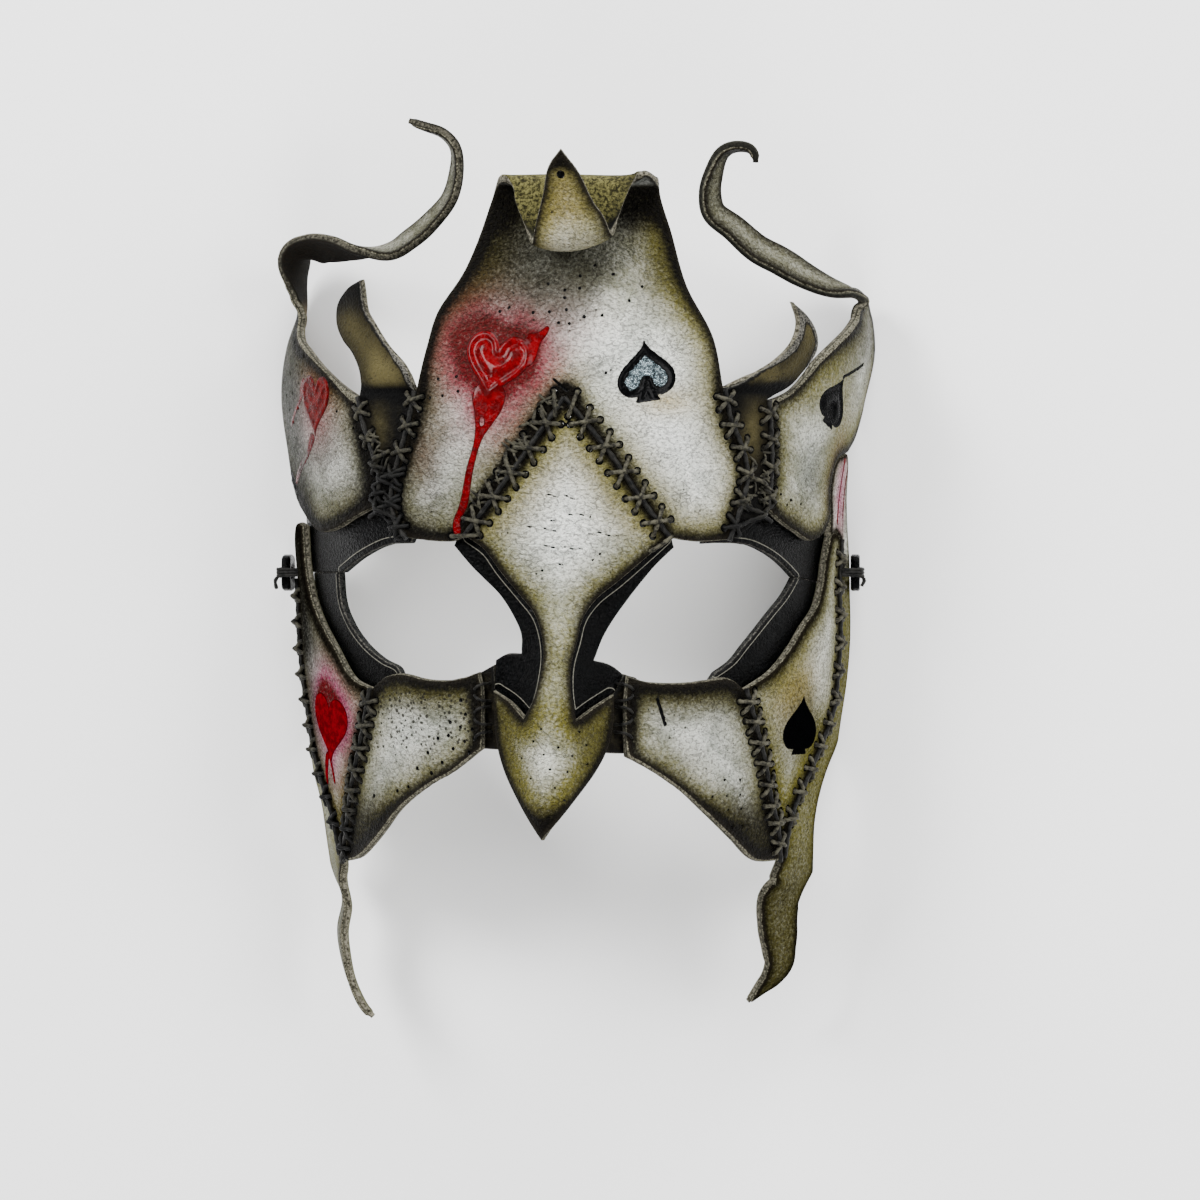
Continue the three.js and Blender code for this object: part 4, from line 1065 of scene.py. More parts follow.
# Crosses on a seam, their first and last places along it, their reach and the slant of their threads
CROSSES = {
    "diamond_left": (5, 0.18, 0.88, 4.0, 32), "diamond_right": (5, 0.18, 0.88, 4.0, 32),
    "crown_left": (6, 0.06, 0.90, 3.0, 34), "crown_right": (6, 0.08, 0.90, 3.2, 34),
    "wing_left": (4, 0.12, 0.88, 2.9, 34), "wing_right": (4, 0.12, 0.88, 3.2, 34),
    "cheek_left": (8, 0.07, 0.90, 3.5, 30), "cheek_right": (8, 0.07, 0.90, 3.5, 30),
    "jaw_left": (10, 0.06, 0.88, 3.2, 30), "jaw_right": (11, 0.06, 0.88, 3.2, 30),
}
# Single stitches: two holes each
GUSSET_CROSSES = {
    "wing_left": [((-42.6, 26.5), (-54.8, 21.5)), ((-53.4, 26.8), (-44.6, 20.6)),
                  ((-44.8, 18.3), (-56.4, 13.6)), ((-56, 18.8), (-45.2, 12.8)), ((-47.5, 31), (-54.3, 27.6))],
    "crown_right": [((53.6, 17.4), (66.2, 12.4)), ((66.6, 17.2), (53.8, 11)), ((55.2, 25.4), (66.2, 20.2))],
}
SINGLES = {
    "diamond_left": [((0.8, 46.3), (1.2, 39.6)), ((-28.5, 8.6), (-20.5, 8.9))],
    "diamond_right": [((6.9, 46.1), (4.6, 39.6)), ((27.3, 4.6), (33.6, 8.6))],
}


def crosses(name):
    """Pairs of threads on a seam, each as its two holes, the level thread second."""
    count, first, last, reach, slant = CROSSES[name]
    line = smooth_curve(SEAMS[name], 0.25)
    pairs = []
    for share in np.linspace(first, last, count):
        i = int(round(share * (len(line) - 1)))
        middle = line[i]
        run = line[min(i + 2, len(line) - 1)] - line[max(i - 2, 0)]
        run /= np.linalg.norm(run)
        across = np.array([-run[1], run[0]])
        c, k = math.cos(math.radians(slant)), math.sin(math.radians(slant))
        threads = [reach * (across * c + run * k), reach * (across * c - run * k)]
        threads.sort(key=lambda d: -abs(d[1]))
        pairs.append([(middle - d, middle + d) for d in threads])
    return pairs


def from_seam(name, s, y, near, far=0.0):
    """1 on a seam, fading over a distance; far moves the full strength away from the line."""
    distance = distance_to(np.column_stack([s, y]), smooth_curve(LINES[name], 1.5), closed=False)
    return np.exp(-((np.maximum(distance - far, 0) / near) ** 2))


stitch_holes = [hole for name in SEAMS for pair in crosses(name) for thread in pair for hole in thread]
for extra in (SINGLES, GUSSET_CROSSES):
    stitch_holes += [np.array(hole) for pairs in extra.values() for pair in pairs for hole in pair]
print("stitch holes:", len(stitch_holes))

# %% Make one piece of leather
# The shades of a piece with no tone of its own
PLAIN = {"olive": 0.0, "tan": 0.0, "pink": 0.0, "pale": 0.0, "soot": 0.0, "under": 0.0, "rim": 0.2,
         "bare": 0.1, "pocked": 0.05}


def leather_piece(node, edges, leathers, form=shell, lift=0.0, art=None, tone=None):
    """Cuts, forms, carves and dyes one piece, which stands for the solid of the same name."""
    ring, art = outline(edges), art or {}
    near = np.array(stitch_holes)
    clear = inside(near, ring) & (distance_to(near, ring) > HOLE + HOLE_MARGIN)
    holes = list(near[clear])
    points, faces = triangulate(ring, holes, scatter(ring, holes, art))
    vertices, polygons, parts, flat, fields = thicken(ring, holes, art, points, faces, form, lift)
    side = fields.pop("side")
    shades = dict(PLAIN)
    if tone:
        shades.update(tone(flat[:, 0], flat[:, 1], fields["edge"]))
    # The cut edge and the flesh side take their own darkening, which on the left horn's flesh side is painted
    # shade
    rim, under = shades.pop("rim"), shades.pop("under")
    shades["soot"] = np.select([side == 1, side == 2], [rim, under], shades["soot"])
    for mist in ("olive", "pale"):
        shades[mist] = np.where(side == 1, 0, shades[mist])
    for name, shade in shades.items():
        fields[name] = np.broadcast_to(np.clip(shade, 0, 3 if name == "bare" else 1), len(flat))
    piece = finish_mesh(node + "_leather", vertices, polygons, leathers, parts, fields)
    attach(piece, "root")
    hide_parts(node)
    print(f"{node}: {len(faces)} faces on the grain side, {len(holes)} holes")


def finish_mesh(name, vertices, polygons, materials, parts=None, fields=None):
    mesh = bpy.data.meshes.new(name)
    mesh.from_pydata(place(vertices).tolist(), [], polygons)
    for material in materials:
        mesh.materials.append(material)
    if parts:
        mesh.polygons.foreach_set("material_index", parts)
    for title, values in (fields or {}).items():
        layer = mesh.attributes.new(title, "FLOAT", "POINT")
        layer.data.foreach_set("value", np.ascontiguousarray(values, np.float32))
    mesh.polygons.foreach_set("use_smooth", [True] * len(mesh.polygons))
    mesh.update()
    mesh.set_sharp_from_angle(angle=math.radians(65))
    piece = bpy.data.objects.new(name, mesh)
    bpy.context.scene.collection.objects.link(piece)
    return piece


def spot(s, y, centre, width, height):
    """A soft round patch of dye."""
    return np.exp(-(((s - centre[0]) / width) ** 2) - (((y - centre[1]) / height) ** 2))


def closed_shape(points):
    """A smooth closed blot through a few points."""
    return smooth_curve(points, 0.4, closed=True)[:-1]


# %% [markdown]
# ## The crown
# The tallest piece runs from the brow up over the top, where it is rolled forward with its fuzzy
# flesh side out and turned back up into a pointed tongue. A glossy red heart and a silver spade are
# carved on it. The heart has bled: a splash beside it and a long drip down to the brow are poured
# enamel, a fraction of a millimetre thick.

# %% Cut and carve the crown
CROWN_PANEL = [
    [(-42.5, 8), (-35, 7.3), (-28, 7.2), (-24.5, 8.5)],
    SEAMS["diamond_left"][::-1],
    SEAMS["diamond_right"],
    [(33, 8), (41, 7.1), (51, 7.5)],
    SEAMS["crown_right"][::-1],
    [(46.5, 47.5), (42, 61), (35.5, 73.5), (31.5, 88), (28.5, 98), (28.3, 104)],
    [(28.3, 104), (26.5, 108), (24.5, 111.5), (19.8, 118.5), (17.5, 123), (16, 128), (14.5, 134),
     (11.3, 140.3), (7.8, 148.5), (3, 155.3)],
    [(3, 155.3), (-0.5, 150), (-2, 143), (-4.3, 134), (-5.4, 128), (-8.1, 122.6), (-10.8, 118),
     (-12, 112.5), (-15.4, 107.5), (-17, 103.5)],
    [(-17, 103.5), (-19.5, 95.5), (-26, 78.5), (-33, 67.5), (-35, 59), (-38, 46.5)],
    SEAMS["crown_left"],
]
CROWN_HEART = heart_ring(-14.8, 52.3, 8.6, 8.6, -12)
CROWN_SPADE = spade_rings(24.2, 52.0, 7.5, 7.0, 8)
DRIP = closed_shape([
    (-20.8, 45.6), (-20.4, 40.9), (-20.3, 36.2), (-21, 32.3), (-23.3, 25.8), (-25.7, 16.7),
    (-27.6, 12.6), (-27.6, 9.4), (-26.4, 7.9), (-25.3, 9.7), (-25.5, 12.5), (-23.3, 16.2), (-21.3, 25.3),
    (-19.1, 32.1), (-17.6, 34.9), (-15.3, 37.8), (-12.6, 41.9), (-12, 46.1), (-16, 50)])
DRIP_GAP = closed_shape([(-18.7, 37), (-17.8, 37.5), (-17.9, 39.2), (-18.6, 39.3)])
SPLASH = closed_shape([
    (-8, 56.5), (-7.2, 59.4), (-6.2, 61), (-4.3, 61.3), (-2.9, 61.8), (-1.3, 63.1), (-0.5, 62.6),
    (-1.2, 60.9), (-2.6, 58.9), (-3.4, 56.6), (-4.3, 53.9), (-6.4, 52.2)])
CROWN_PITS = [
    (10.8, 79.1), (15.5, 76.7), (7, 76.3), (7, 73.1), (3.2, 72.6), (3.2, 70.6), (-1.2, 74.3),
    (-5.2, 66.7), (-0.7, 66.9), (3.6, 67.4), (1.7, 64), (4.4, 63.8), (8.1, 65.5), (12.6, 65.9),
    (23, 73.5), (19.6, 69.8), (-31, 49.6), (-25.7, 50.2), (-36, 44.2), (-33.5, 44.7), (-29.7, 45.2),
    (-25.1, 46.3), (-14.4, 67), (-11.9, 68.1), (14, 50.8), (3.0, 148.3, 1.05)]


def halo(edge, width):
    """A mist that fades with distance from the cut edge."""
    return np.exp(-((edge / width) ** 2))


# Two lines on the crown: along the first a painted highlight, along the second a painted shade, in place of a
# fold that the form does not have
CROWN_HIGHLIGHT_LINE = np.array([(26, 88), (15.5, 70), (11, 63), (3, 53)], float)
CROWN_SHADE_LINE = np.array([(14.5, 78), (10, 68), (5, 60), (2, 56)], float)


def crown_tone(s, y, edge):
    front = 1 - ease((y - 100) / 6)
    tongue = ease((y - 122) / 4)
    points = np.column_stack([s, y])
    # lit is the painted highlight along the first line, shaded the painted shade along the second
    lit = np.exp(-((distance_to(points, CROWN_HIGHLIGHT_LINE, closed=False) / 5) ** 2))
    shaded = np.exp(-((distance_to(points, CROWN_SHADE_LINE, closed=False) / 4.5) ** 2))
    # Darker on the left half, a painted shade of the side turned from the light, and darker towards the fold
    soot = 0.12 * (1 - ease((s - 2) / 14)) + 0.5 * ease((y - 54) / 38) + 0.12 * shaded - 0.22 * lit
    soot = (soot - 0.1 * spot(s, y, (27, 50), 14, 18)) * (1 - tongue) + ease((y - 148) / 5)
    soot = soot + tongue * (0.5 * halo(edge, 2) + 0.08 + 0.12 * ease((y - 132) / 14))
    soot = soot + front * (0.85 * halo(edge, 2.7) + 0.14 * halo(edge, 10) * (1 - 0.8 * ease((s - 4) / 10)))
    soot = soot + front * 0.95 * from_seam("diamond_left", s, y, 2.4, 1.4)
    soot = soot + front * 0.4 * from_seam("crown_left", s, y, 5, 1)
    soot = soot + front * 0.3 * from_seam("crown_right", s, y, 3.5, 1)
    soot = soot + 0.12 * spot(s, y, (-34, 20), 6, 22) + 0.14 * spot(s, y, (-3, 74), 14, 9)
    # Black at both sides under the flap: black dye, and painted shade cast by the flap
    soot = soot + 0.42 * ease((y - 85) / 9) * ease((abs(s - 2) - 9) / 10) * front
    bleed = np.maximum(signed_distance(points, CROWN_HEART), 0)
    bleed = bleed * (1 + 0.35 * ease((s + 10) / 8)) + 0.8 * np.sin(s / 1.9) * np.sin(y / 2.3)
    pink = 1.05 * np.exp(-(np.maximum(bleed, 0) / 4.2)) + 0.45 * np.exp(-((bleed / 11) ** 2))
    pink = pink + 0.2 * spot(s, y, (-27, 62), 9, 12) + 0.18 * spot(s, y, (2, 64), 10, 9)
    pink = pink + 0.16 * spot(s, y, (-36, 30), 6, 8)
    # Pale: a clean patch on the right, and the painted highlight along the fold
    pale = 0.85 * spot(s, y, (27, 36), 17, 24) + 0.4 * lit * ease((74 - y) / 20)
    olive = front * (0.78 * halo(edge, 11 - 3 * ease((s - 4) / 10)) + 0.4 * ease((y - 54) / 24))
    olive = olive + tongue * (0.3 + 0.4 * halo(edge, 4))
    tan = 0.6 * spot(s, y, (30, 43.5), 8, 4) + 0.35 * front * halo(edge, 8) * ease((s - 10) / 16)
    tan = tan + tongue * (0.35 * ease((3.5 - s) / 7) + 0.45 * ease((y - 132) / 8) + 0.3)
    under = 0.9 * ease((y - 118) / 6) + 0.6 * ease((s - 14) / 8)
    pocked = 0.06 + 0.1 * spot(s, y, (5, 70), 20, 12)
    return {"soot": soot, "pink": pink, "olive": olive, "under": under, "tan": tan, "pocked": pocked,
            "pale": pale}


leather_piece(
    "crown_panel", CROWN_PANEL, GREY, crown_form, tone=crown_tone,
    art={"hearts": [CROWN_HEART], "spades": [CROWN_SPADE], "drips": [DRIP, SPLASH], "gaps": [DRIP_GAP],
         "foil": True, "strokes": [(0.7, 49.2, 4.2, 46.2, 0.35)] + [pit(*at) for at in CROWN_PITS]})

# %% [markdown]
# ## The nose and brow diamond
# One long piece is both the diamond of the brow and the ridge of the nose. It narrows to a neck
# between the eyes. The middle is left pale and its borders are misted olive, so that it stands out
# from the pieces around it. Rows of short knife cuts cross the brow.

# %% Cut the nose
NOSE_PANEL = [
    SEAMS["diamond_left"],
    [(-24.5, 8.5), (-19, 5), (-14.5, -0.5), (-8.5, -7), (-4.5, -11.5), (-2.5, -16), (-1.5, -22.5),
     (-2.5, -29.5), (-4, -34.5), (-6.5, -38.5)],
    [(-6.5, -38.5), (-11, -34.5), (-16.5, -31.5)],
    [(-16.5, -31.5), (-16.3, -37), (-15.5, -46), (-13, -53), (-8.5, -60), (-1, -70)],
    [(-1, -70), (6.5, -61), (13.5, -52), (16.5, -46), (17.7, -39), (17.5, -32.5)],
    [(17.5, -32.5), (12.5, -35.5), (7.5, -39)],
    [(7.5, -39), (6, -31.5), (6, -25), (7.5, -19), (9, -13), (12.5, -8), (19, -3), (26, 2.5), (33, 8)],
    SEAMS["diamond_right"][::-1],
]
BROW_CUTS = [
    (-0.2, 19.2), (1.5, 18.7), (4.2, 19), (5.9, 18.2), (5.6, 14), (8.6, 14), (0.7, 12.5), (-5.7, 10.9),
    (-1.2, 10.4), (1, 9.9), (10.9, 9.1), (13.3, 9.4), (15.5, 8.8), (18.3, 8.6), (-1.2, 6), (0.8, 5.5),
    (3.5, 5.7), (5.7, 5.2), (8.1, 5.2), (3, 1)]
BROW_PITS = [(10.8, 13.5), (11.4, 2.3), (-2, -0.5), (-3.7, -1.3), (13.3, 3.9), (-11.7, 9.4)]


def nose_tone(s, y, edge):
    bridge = ease((-y - 4) / 10) * ease((y + 40) / 8)
    olive = (0.85 - 0.45 * bridge) * halo(edge, 8.5) + 0.34 * ease((-y - 2) / 16)
    olive = olive - 0.2 * spot(s, y, (0.5, -50), 6, 12)
    soot = (0.85 - 0.25 * bridge) * halo(edge, 2.0) + 0.12 * halo(edge, 9) * (1 - bridge)
    soot = soot + 0.85 * ease((-y - 58) / 10) + 0.3 * from_seam("diamond_left", s, y, 2)
    soot = soot + 0.2 * spot(s, y, (12, -44), 5, 12) + 0.18 * spot(s, y, (-12, -44), 4, 12)
    tan = 0.55 * halo(edge, 11) * ease((y - 4) / 8)
    return {"olive": olive, "soot": soot, "tan": tan, "pale": 0.75 * spot(s, y, (3, 17), 14, 15)}


NOSE_PITS = [
    (-0.6, -47.9), (3, -46.1), (6.5, -48.3), (-3.4, -44.6), (10.2, -45.6), (1.1, -51.7), (5.3, -52.3),
    (2.3, -56.3), (-1.3, -41.5), (8.2, -42.2), (-7, -49), (10.5, -50.5), (-4, -54), (4.5, -59.5)]
leather_piece(
    "nose_panel", NOSE_PANEL, GREY, tone=nose_tone,
    art={"strokes": [(s - 0.6, y + 0.1, s + 0.6, y - 0.1, 0.2) for s, y in BROW_CUTS]
         + [pit(*at, 0.35) for at in BROW_PITS + NOSE_PITS]})

# %% [markdown]
# ## The wings
# Each wing wraps round a temple and rises into a long horn. Its front edge is cut thick and left
# speckled. The left wing has a heart seen almost edge on and a shallow spade, the right one a spade
# whose point is drawn out in a long groove, and rows of awl pits cross them both. Where the left
# horn leaves its wing, its flesh side shows, painted near black as the shade inside the turn.

# %% The two sides of a ribbon
def taper(neck_s, neck_y, heading, tip, lefts, rights=None):
    """The widths to each side, as (distance from the neck, width)."""
    side = {word: [(neck_s + sign * width, neck_y + heading * t) for t, width in rows]
            for word, sign, rows in (("left", -1, lefts), ("right", 1, rights or lefts))}
    return {**side, "tip": (neck_s, neck_y + heading * tip)}


HORN_LEFT = taper(-111, 66, 1, 105, [
    (0, 10.7), (8, 9), (18, 7.5), (32, 6), (44, 4.8), (56, 4.6), (68, 4.2), (80, 3.5), (90, 2.6), (99, 1.6)])
HORN_RIGHT = taper(111, 68, 1, 89, [
    (0, 10.7), (3, 8.3), (6, 4.6), (9, 3), (12, 3.2), (16, 4.6), (22, 5.2), (32, 5.2), (44, 4.8), (56, 4.2),
    (68, 3.4), (78, 2.4), (84, 1.6)], [
    (0, 10.7), (4, 7), (8, 4), (12, 2.6), (17, 2.4), (24, 3.4), (32, 4.8), (44, 4.8), (56, 4.2), (68, 3.4),
    (78, 2.4), (84, 1.6)])
TAIL_LEFT = taper(-101, -80, -1, 45, [(0, 10), (6, 7.5), (14, 6), (26, 5.2), (36, 3)])
TAIL_RIGHT = taper(94, -82, -1, 40, [
    (0, 14.5), (3, 14.2), (6, 13), (8, 11.2), (11, 9.2), (18, 7), (26, 5), (33, 3)], [
    (0, 14.5), (3, 11), (6, 8), (9, 6.6), (14, 6.4), (18, 6.6), (26, 5), (33, 3)])
print("the horns end at", HORN_LEFT["tip"], "and", HORN_RIGHT["tip"], "on the pattern")

# %% Cut and carve the wings
LEFT_WING = [
    SEAMS["wing_left"][::-1],
    [(-57.5, 45.5), (-64.5, 48.6), (-75, 54), (-85, 59), (-94, 62.5), HORN_LEFT["right"][0]],
    HORN_LEFT["right"] + [HORN_LEFT["tip"]],
    [HORN_LEFT["tip"]] + HORN_LEFT["left"][::-1],
    [HORN_LEFT["left"][0], (-REAR, 42)],
    [(-REAR, 42), (-116, 32), (-107, 22), (-99, 16.8)],
    [(-99, 16.8), (-90.5, 12.7), (-83.5, 10), (-73, 10.5), (-63.5, 13.5), (-54, 16.5)],
]
WING_BACK = [(97, 14), (95.5, 22), (97.5, 29), (107, 31.5)]  # where it meets the jaw strip
RIGHT_WING = [
    SEAMS["wing_right"],
    [(64.5, 16), (70.5, 12.5), (78, 9.5), (84.5, 7.5), (91.5, 9), (97, 14)],
    WING_BACK,
    [(107, 31.5), (115, 36), (REAR, 43)],
    [(REAR, 43), HORN_RIGHT["right"][0]],
    HORN_RIGHT["right"] + [HORN_RIGHT["tip"]],
    [HORN_RIGHT["tip"]] + HORN_RIGHT["left"][::-1],
    [HORN_RIGHT["left"][0], (94, 65), (85, 60.6), (77.8, 55.5), (75.2, 52), (70.5, 47.6), (66, 45.7),
     (61.5, 44.5)],
]
LEFT_WING_PITS = [
    (-97, 61.3), (-86.3, 57.1), (-92.1, 54.9), (-89.7, 52.6), (-97.8, 52.9), (-107, 50.8), (-86.5, 52.9),
    (-89.5, 50.1), (-94.8, 47.6), (-102.5, 47.1), (-89.4, 43.2), (-98.9, 43.4), (-94.9, 39.6), (-108, 40),
    (-105, 36), (-95.2, 35.6), (-108, 34.5), (-67, 42), (-60.4, 37.3), (-57.6, 32.9), (-99, 57)]
WING_DRIPS = [
    closed_shape([(-85.5, 51.3), (-83.6, 50.4), (-84.4, 47.6), (-86.6, 45.2), (-92.2, 41.8), (-97.6, 38.4),
                  (-98.2, 39.2), (-92.9, 43), (-88.2, 46), (-87.4, 49)]),
    closed_shape([(-80.6, 36.6), (-84.8, 32.2), (-91.9, 28.8), (-99.5, 24.5), (-99.7, 23.2), (-92, 26.6),
                  (-84.2, 30.3), (-78.6, 35.4)])]
WING_GAPS = [closed_shape([(-84.5, 31.6), (-91.5, 28.1), (-97.5, 25), (-91.9, 27.3), (-84.6, 31)])]
RIGHT_WING_PITS = [
    (69.8, 19.8), (74.3, 18.3), (79.1, 17.3), (72.8, 17), (114, 58), (113, 52), (114.5, 45.5), (113.5, 38)]


def left_wing_tone(s, y, edge):
    horn = ease((y - 74) / 8)
    soot = 0.82 * halo(edge, 3.0) + 0.5 * ease((y - 64) / 8) * (1 - ease((y - 78) / 24)) + 0.2
    # Darker towards the back of the wing: painted shade where it curves away from the light
    soot = soot + 0.4 * ease((-s - 78) / 16) * (1 - horn) + 0.5 * spot(s, y, (-54, 28), 6, 16)
    soot = soot - 0.5 * halo(edge, 3.0) * horn + 0.7 * ease((y - 160) / 8)
    olive = 0.8 * halo(edge, 10) * (1 - 0.35 * horn) + 0.4 * spot(s, y, (-70, 52), 10, 5)
    soot = soot + 0.45 * from_seam("wing_left", s, y, 4.5, 1) + 0.15 * halo(edge, 10) * ease((30 - y) / 8)
    pink = 0.55 * spot(s, y, (-79, 43), 11, 11)
    # The flesh side near black where the horn leaves the wing: painted shade inside the turn
    under = 0.96 * ease((y - 69) / 5)
    bare = 0.1 + 2.0 * from_seam("wing_front_left", s, y, 2.5, 2)
    return {"soot": soot, "olive": olive, "pink": pink, "under": under, "bare": bare,
            "rim": 0.2 + 0.45 * horn, "pocked": 0.05 + 0.15 * ease((-s - 86) / 8)}


def right_wing_tone(s, y, edge):
    horn = ease((y - 72) / 6)
    soot = 0.82 * halo(edge, 2.9) + 0.06 + 0.35 * ease((y - 50) / 14) * (1 - horn)
    soot = soot - 0.3 * halo(edge, 2.9) * horn + 0.1 * horn + 0.4 * ease((y - 140) / 10)
    soot = soot + 0.15 * spot(s, y, (84, 24), 8, 8) + 0.35 * from_seam("wing_right", s, y, 3.5, 0.5)
    olive = 0.85 * halo(edge, 10) * (1 - 0.25 * horn) + 0.6 * spot(s, y, (94, 46), 13, 9)
    pink = 0.2 * spot(s, y, (98, 24), 5, 10)
    bare = 0.1 + 1.1 * from_seam("wing_front_right", s, y, 2.5, 2)
    return {"soot": soot, "olive": olive, "pink": pink, "under": 0.9, "bare": bare, "pale": 0.3 * horn,
            "rim": 0.2 + 0.75 * horn}


leather_piece(
    "left_wing", LEFT_WING, WING, wing_form_left, tone=left_wing_tone,
    art={"hearts": [heart_ring(-77.5, 43.6, 7.3, 7.7, -4)], "spades": [spade_rings(-106, 24, 6, 4.5)],
         "drips": WING_DRIPS, "gaps": WING_GAPS, "relief": 0.6,
         "strokes": [pit(*at) for at in LEFT_WING_PITS]})
leather_piece(
    "right_wing", RIGHT_WING, WING, wing_form_right, tone=right_wing_tone,
    art={"spades": [spade_rings(90.2, 45.6, 7.2, 6.2, -22)], "relief": 0.7,
         "strokes": [(92.5, 51.6, 107, 55.6, 0.5)] + [pit(*at) for at in RIGHT_WING_PITS]})

# %% [markdown]
# ## The gussets and the small horns
# Between crown and wing sits a dark gusset that ends in a small curled horn. It is the same leather
# dyed umber. A sharp crease at its foot throws the horn forward.

# %% Cut the gussets
LEFT_GUSSET = [
    SEAMS["crown_left"][::-1],
    [(-38, 46.5), (-41, 53), (-48, 59), (-54, 64.5), (-59, 69), (-62.5, 76.5)],
    [(-62.5, 76.5), (-68, 74.5), (-71.5, 70.5), (-70, 65.5), (-65.5, 60.5), (-60.5, 56.5), (-57, 51),
     (-57.5, 45.5)],
    SEAMS["wing_left"],
    [(-54, 16.5), (-48.5, 10.8), (-42.5, 8)],
]
RIGHT_GUSSET = [
    SEAMS["crown_right"],
    [(51, 7.5), (58, 10.5), (64.5, 16)],
    SEAMS["wing_right"][::-1],
    [(61.5, 44.5), (66, 46.9), (70.5, 49.6), (75, 54.2), (77.6, 58.5), (77, 63), (74, 67), (69, 70.5)],
    [(69, 70.5), (70.5, 65.5), (68.5, 60.5), (63.5, 55.8), (56.5, 51.8), (46.5, 47.5)],
]


def left_gusset_tone(s, y, edge):
    horn = ease((y - 47) / 3)
    olive = horn * (1 - ease((y - 66) / 8)) * (0.2 + 0.5 * ease(edge / 5))
    olive = olive + 0.25 * spot(s, y, (-50, 38), 3, 6)
    soot = (1 - horn) * (0.9 - 0.7 * spot(s, y, (-50, 38), 4, 7)) + 0.9 * np.exp(-(((y - 47) / 1.8) ** 2))
    soot = soot + 0.45 * ease((y - 64) / 7) + 0.45 * horn * ease((-s - 50) / 5)
    bare = 0.1 + 0.9 * horn * ease((s + 47) / 3)
    return {"olive": olive, "soot": soot, "rim": 0.2 + 0.2 * horn, "bare": bare}


def right_gusset_tone(s, y, edge):
    horn = ease((y - 48) / 3)
    olive = horn * (0.35 + 0.5 * ease((edge - 1) / 4)) + 0.45 * spot(s, y, (57, 36), 4, 9)
    soot = (1 - horn) * (0.9 - 0.8 * spot(s, y, (57, 36), 5, 10)) + 0.9 * np.exp(-(((y - 48) / 1.8) ** 2))
    soot = soot + 0.6 * horn * ease((s - 60) / 5) * (1 - ease((y - 58) / 8))
    return {"olive": olive, "soot": soot, "bare": 0.1 + 1.2 * ease((y - 52) / 6)}


leather_piece("left_gusset", LEFT_GUSSET, UMBER, curl_form, tone=left_gusset_tone)
leather_piece("right_gusset", RIGHT_GUSSET, UMBER, curl_form, tone=right_gusset_tone)

# %% [markdown]
# ## Black strips round the eyes
# Six strips of black leather line the eye openings from below, so that the grey pieces over them end
# in a crisp step. Two more dark scraps close the sides of the nose. All of them lie a little more
# than one leather thickness below the pieces that they carry.

# %% Cut the strips
LEFT_EYE_STRIP_INNER = [
    [(-29.5, 6), (-24, 0.5), (-20.5, -2.5), (-15.5, -7), (-12, -12), (-9.7, -17), (-9.8, -21.7)],
    [(-9.8, -21.7), (-14, -22), (-17.3, -23.7)],
    [(-17.3, -23.7), (-17.9, -31.2)],
    [(-17.9, -31.2), (-13.6, -35.8), (-6.5, -39.6)],
    [(-6.5, -39.6), (-3, -34), (-0.8, -23), (-1.6, -15), (-4.5, -8.5), (-11, -0.5), (-17, 5.5),
     (-21.5, 11.5)],
    [(-21.5, 11.5), (-27, 10), (-29.5, 6)],
]
RIGHT_EYE_STRIP_INNER = [
    [(28, 12), (24, 6.5), (17, 0), (10.5, -6.5), (7.4, -13), (5.9, -20), (5, -27), (5.2, -33), (7.5, -40)],
    [(7.5, -40), (13, -36.4), (19.1, -32.2)],
    [(19.1, -32.2), (21.2, -27.5)],
    [(21.2, -27.5), (18.3, -25.2), (16, -24.2), (13.5, -23.5)],
    [(13.5, -23.5), (15.5, -18), (18, -13.5), (22.5, -7.5), (26.5, -3), (30.5, 1), (36, 5.5)],
    [(36, 5.5), (34, 10), (28, 12)],
]
LEFT_BROW_BAND = [
    [(-75, -1.2), (-63, 3.2), (-52, 6.2), (-43.5, 6.6)],
    [(-43.5, 6.6), (-41.5, 10.5), (-45, 14), (-54, 19.3), (-63.5, 16.6), (-73, 13.6), (-83.5, 13.2),
     (-91, 16), (-102, 21)],
    [(-102, 21), (-105, 15), (-103, 7), (-99, -1.2)],
    [(-99, -1.2), (-75, -1.2)],
]
RIGHT_BROW_BAND = [
    [(44.5, 6.4), (51, 6.6), (60, 6.2), (69, 3.5), (75.5, 0.5), (81, -2.5)],
    [(81, -2.5), (95, -3.7)],
    [(95, -3.7), (99, 1), (103, 8), (101, 17.5)],
    [(101, 17.5), (91.5, 12.4), (84.5, 10.8), (78, 12.8), (70.5, 15.8), (63, 19.3), (54, 16.5),
     (47, 12.5), (44.5, 6.4)],
]
LEFT_EYE_RIM_OUTER = [
    [(-77.3, -0.75), (-96.8, -0.75)],
    [(-96.8, -0.75), (-95.5, -6.5), (-89.5, -13.5), (-80.5, -21.5), (-70, -30.5), (-62, -35.5)],
    [(-62, -35.5), (-54, -33.5), (-48.5, -29.5)],
    [(-48.5, -29.5), (-50, -26.3), (-56.5, -24), (-64.5, -20), (-71.5, -14.5), (-76, -8.5), (-77.3, -0.75)],
]
RIGHT_EYE_RIM_OUTER = [
    [(81, -2.05), (75.5, -7), (70, -11), (64, -15.7), (59, -20), (54.5, -24.2), (49, -27.3)],
    [(49, -27.3), (47, -30.5), (54, -33.5), (62, -35.5)],
    [(62, -35.5), (70, -30.5), (78, -24), (84, -18), (91, -12), (95, -3.25)],
    [(95, -3.25), (81, -2.05)],
]
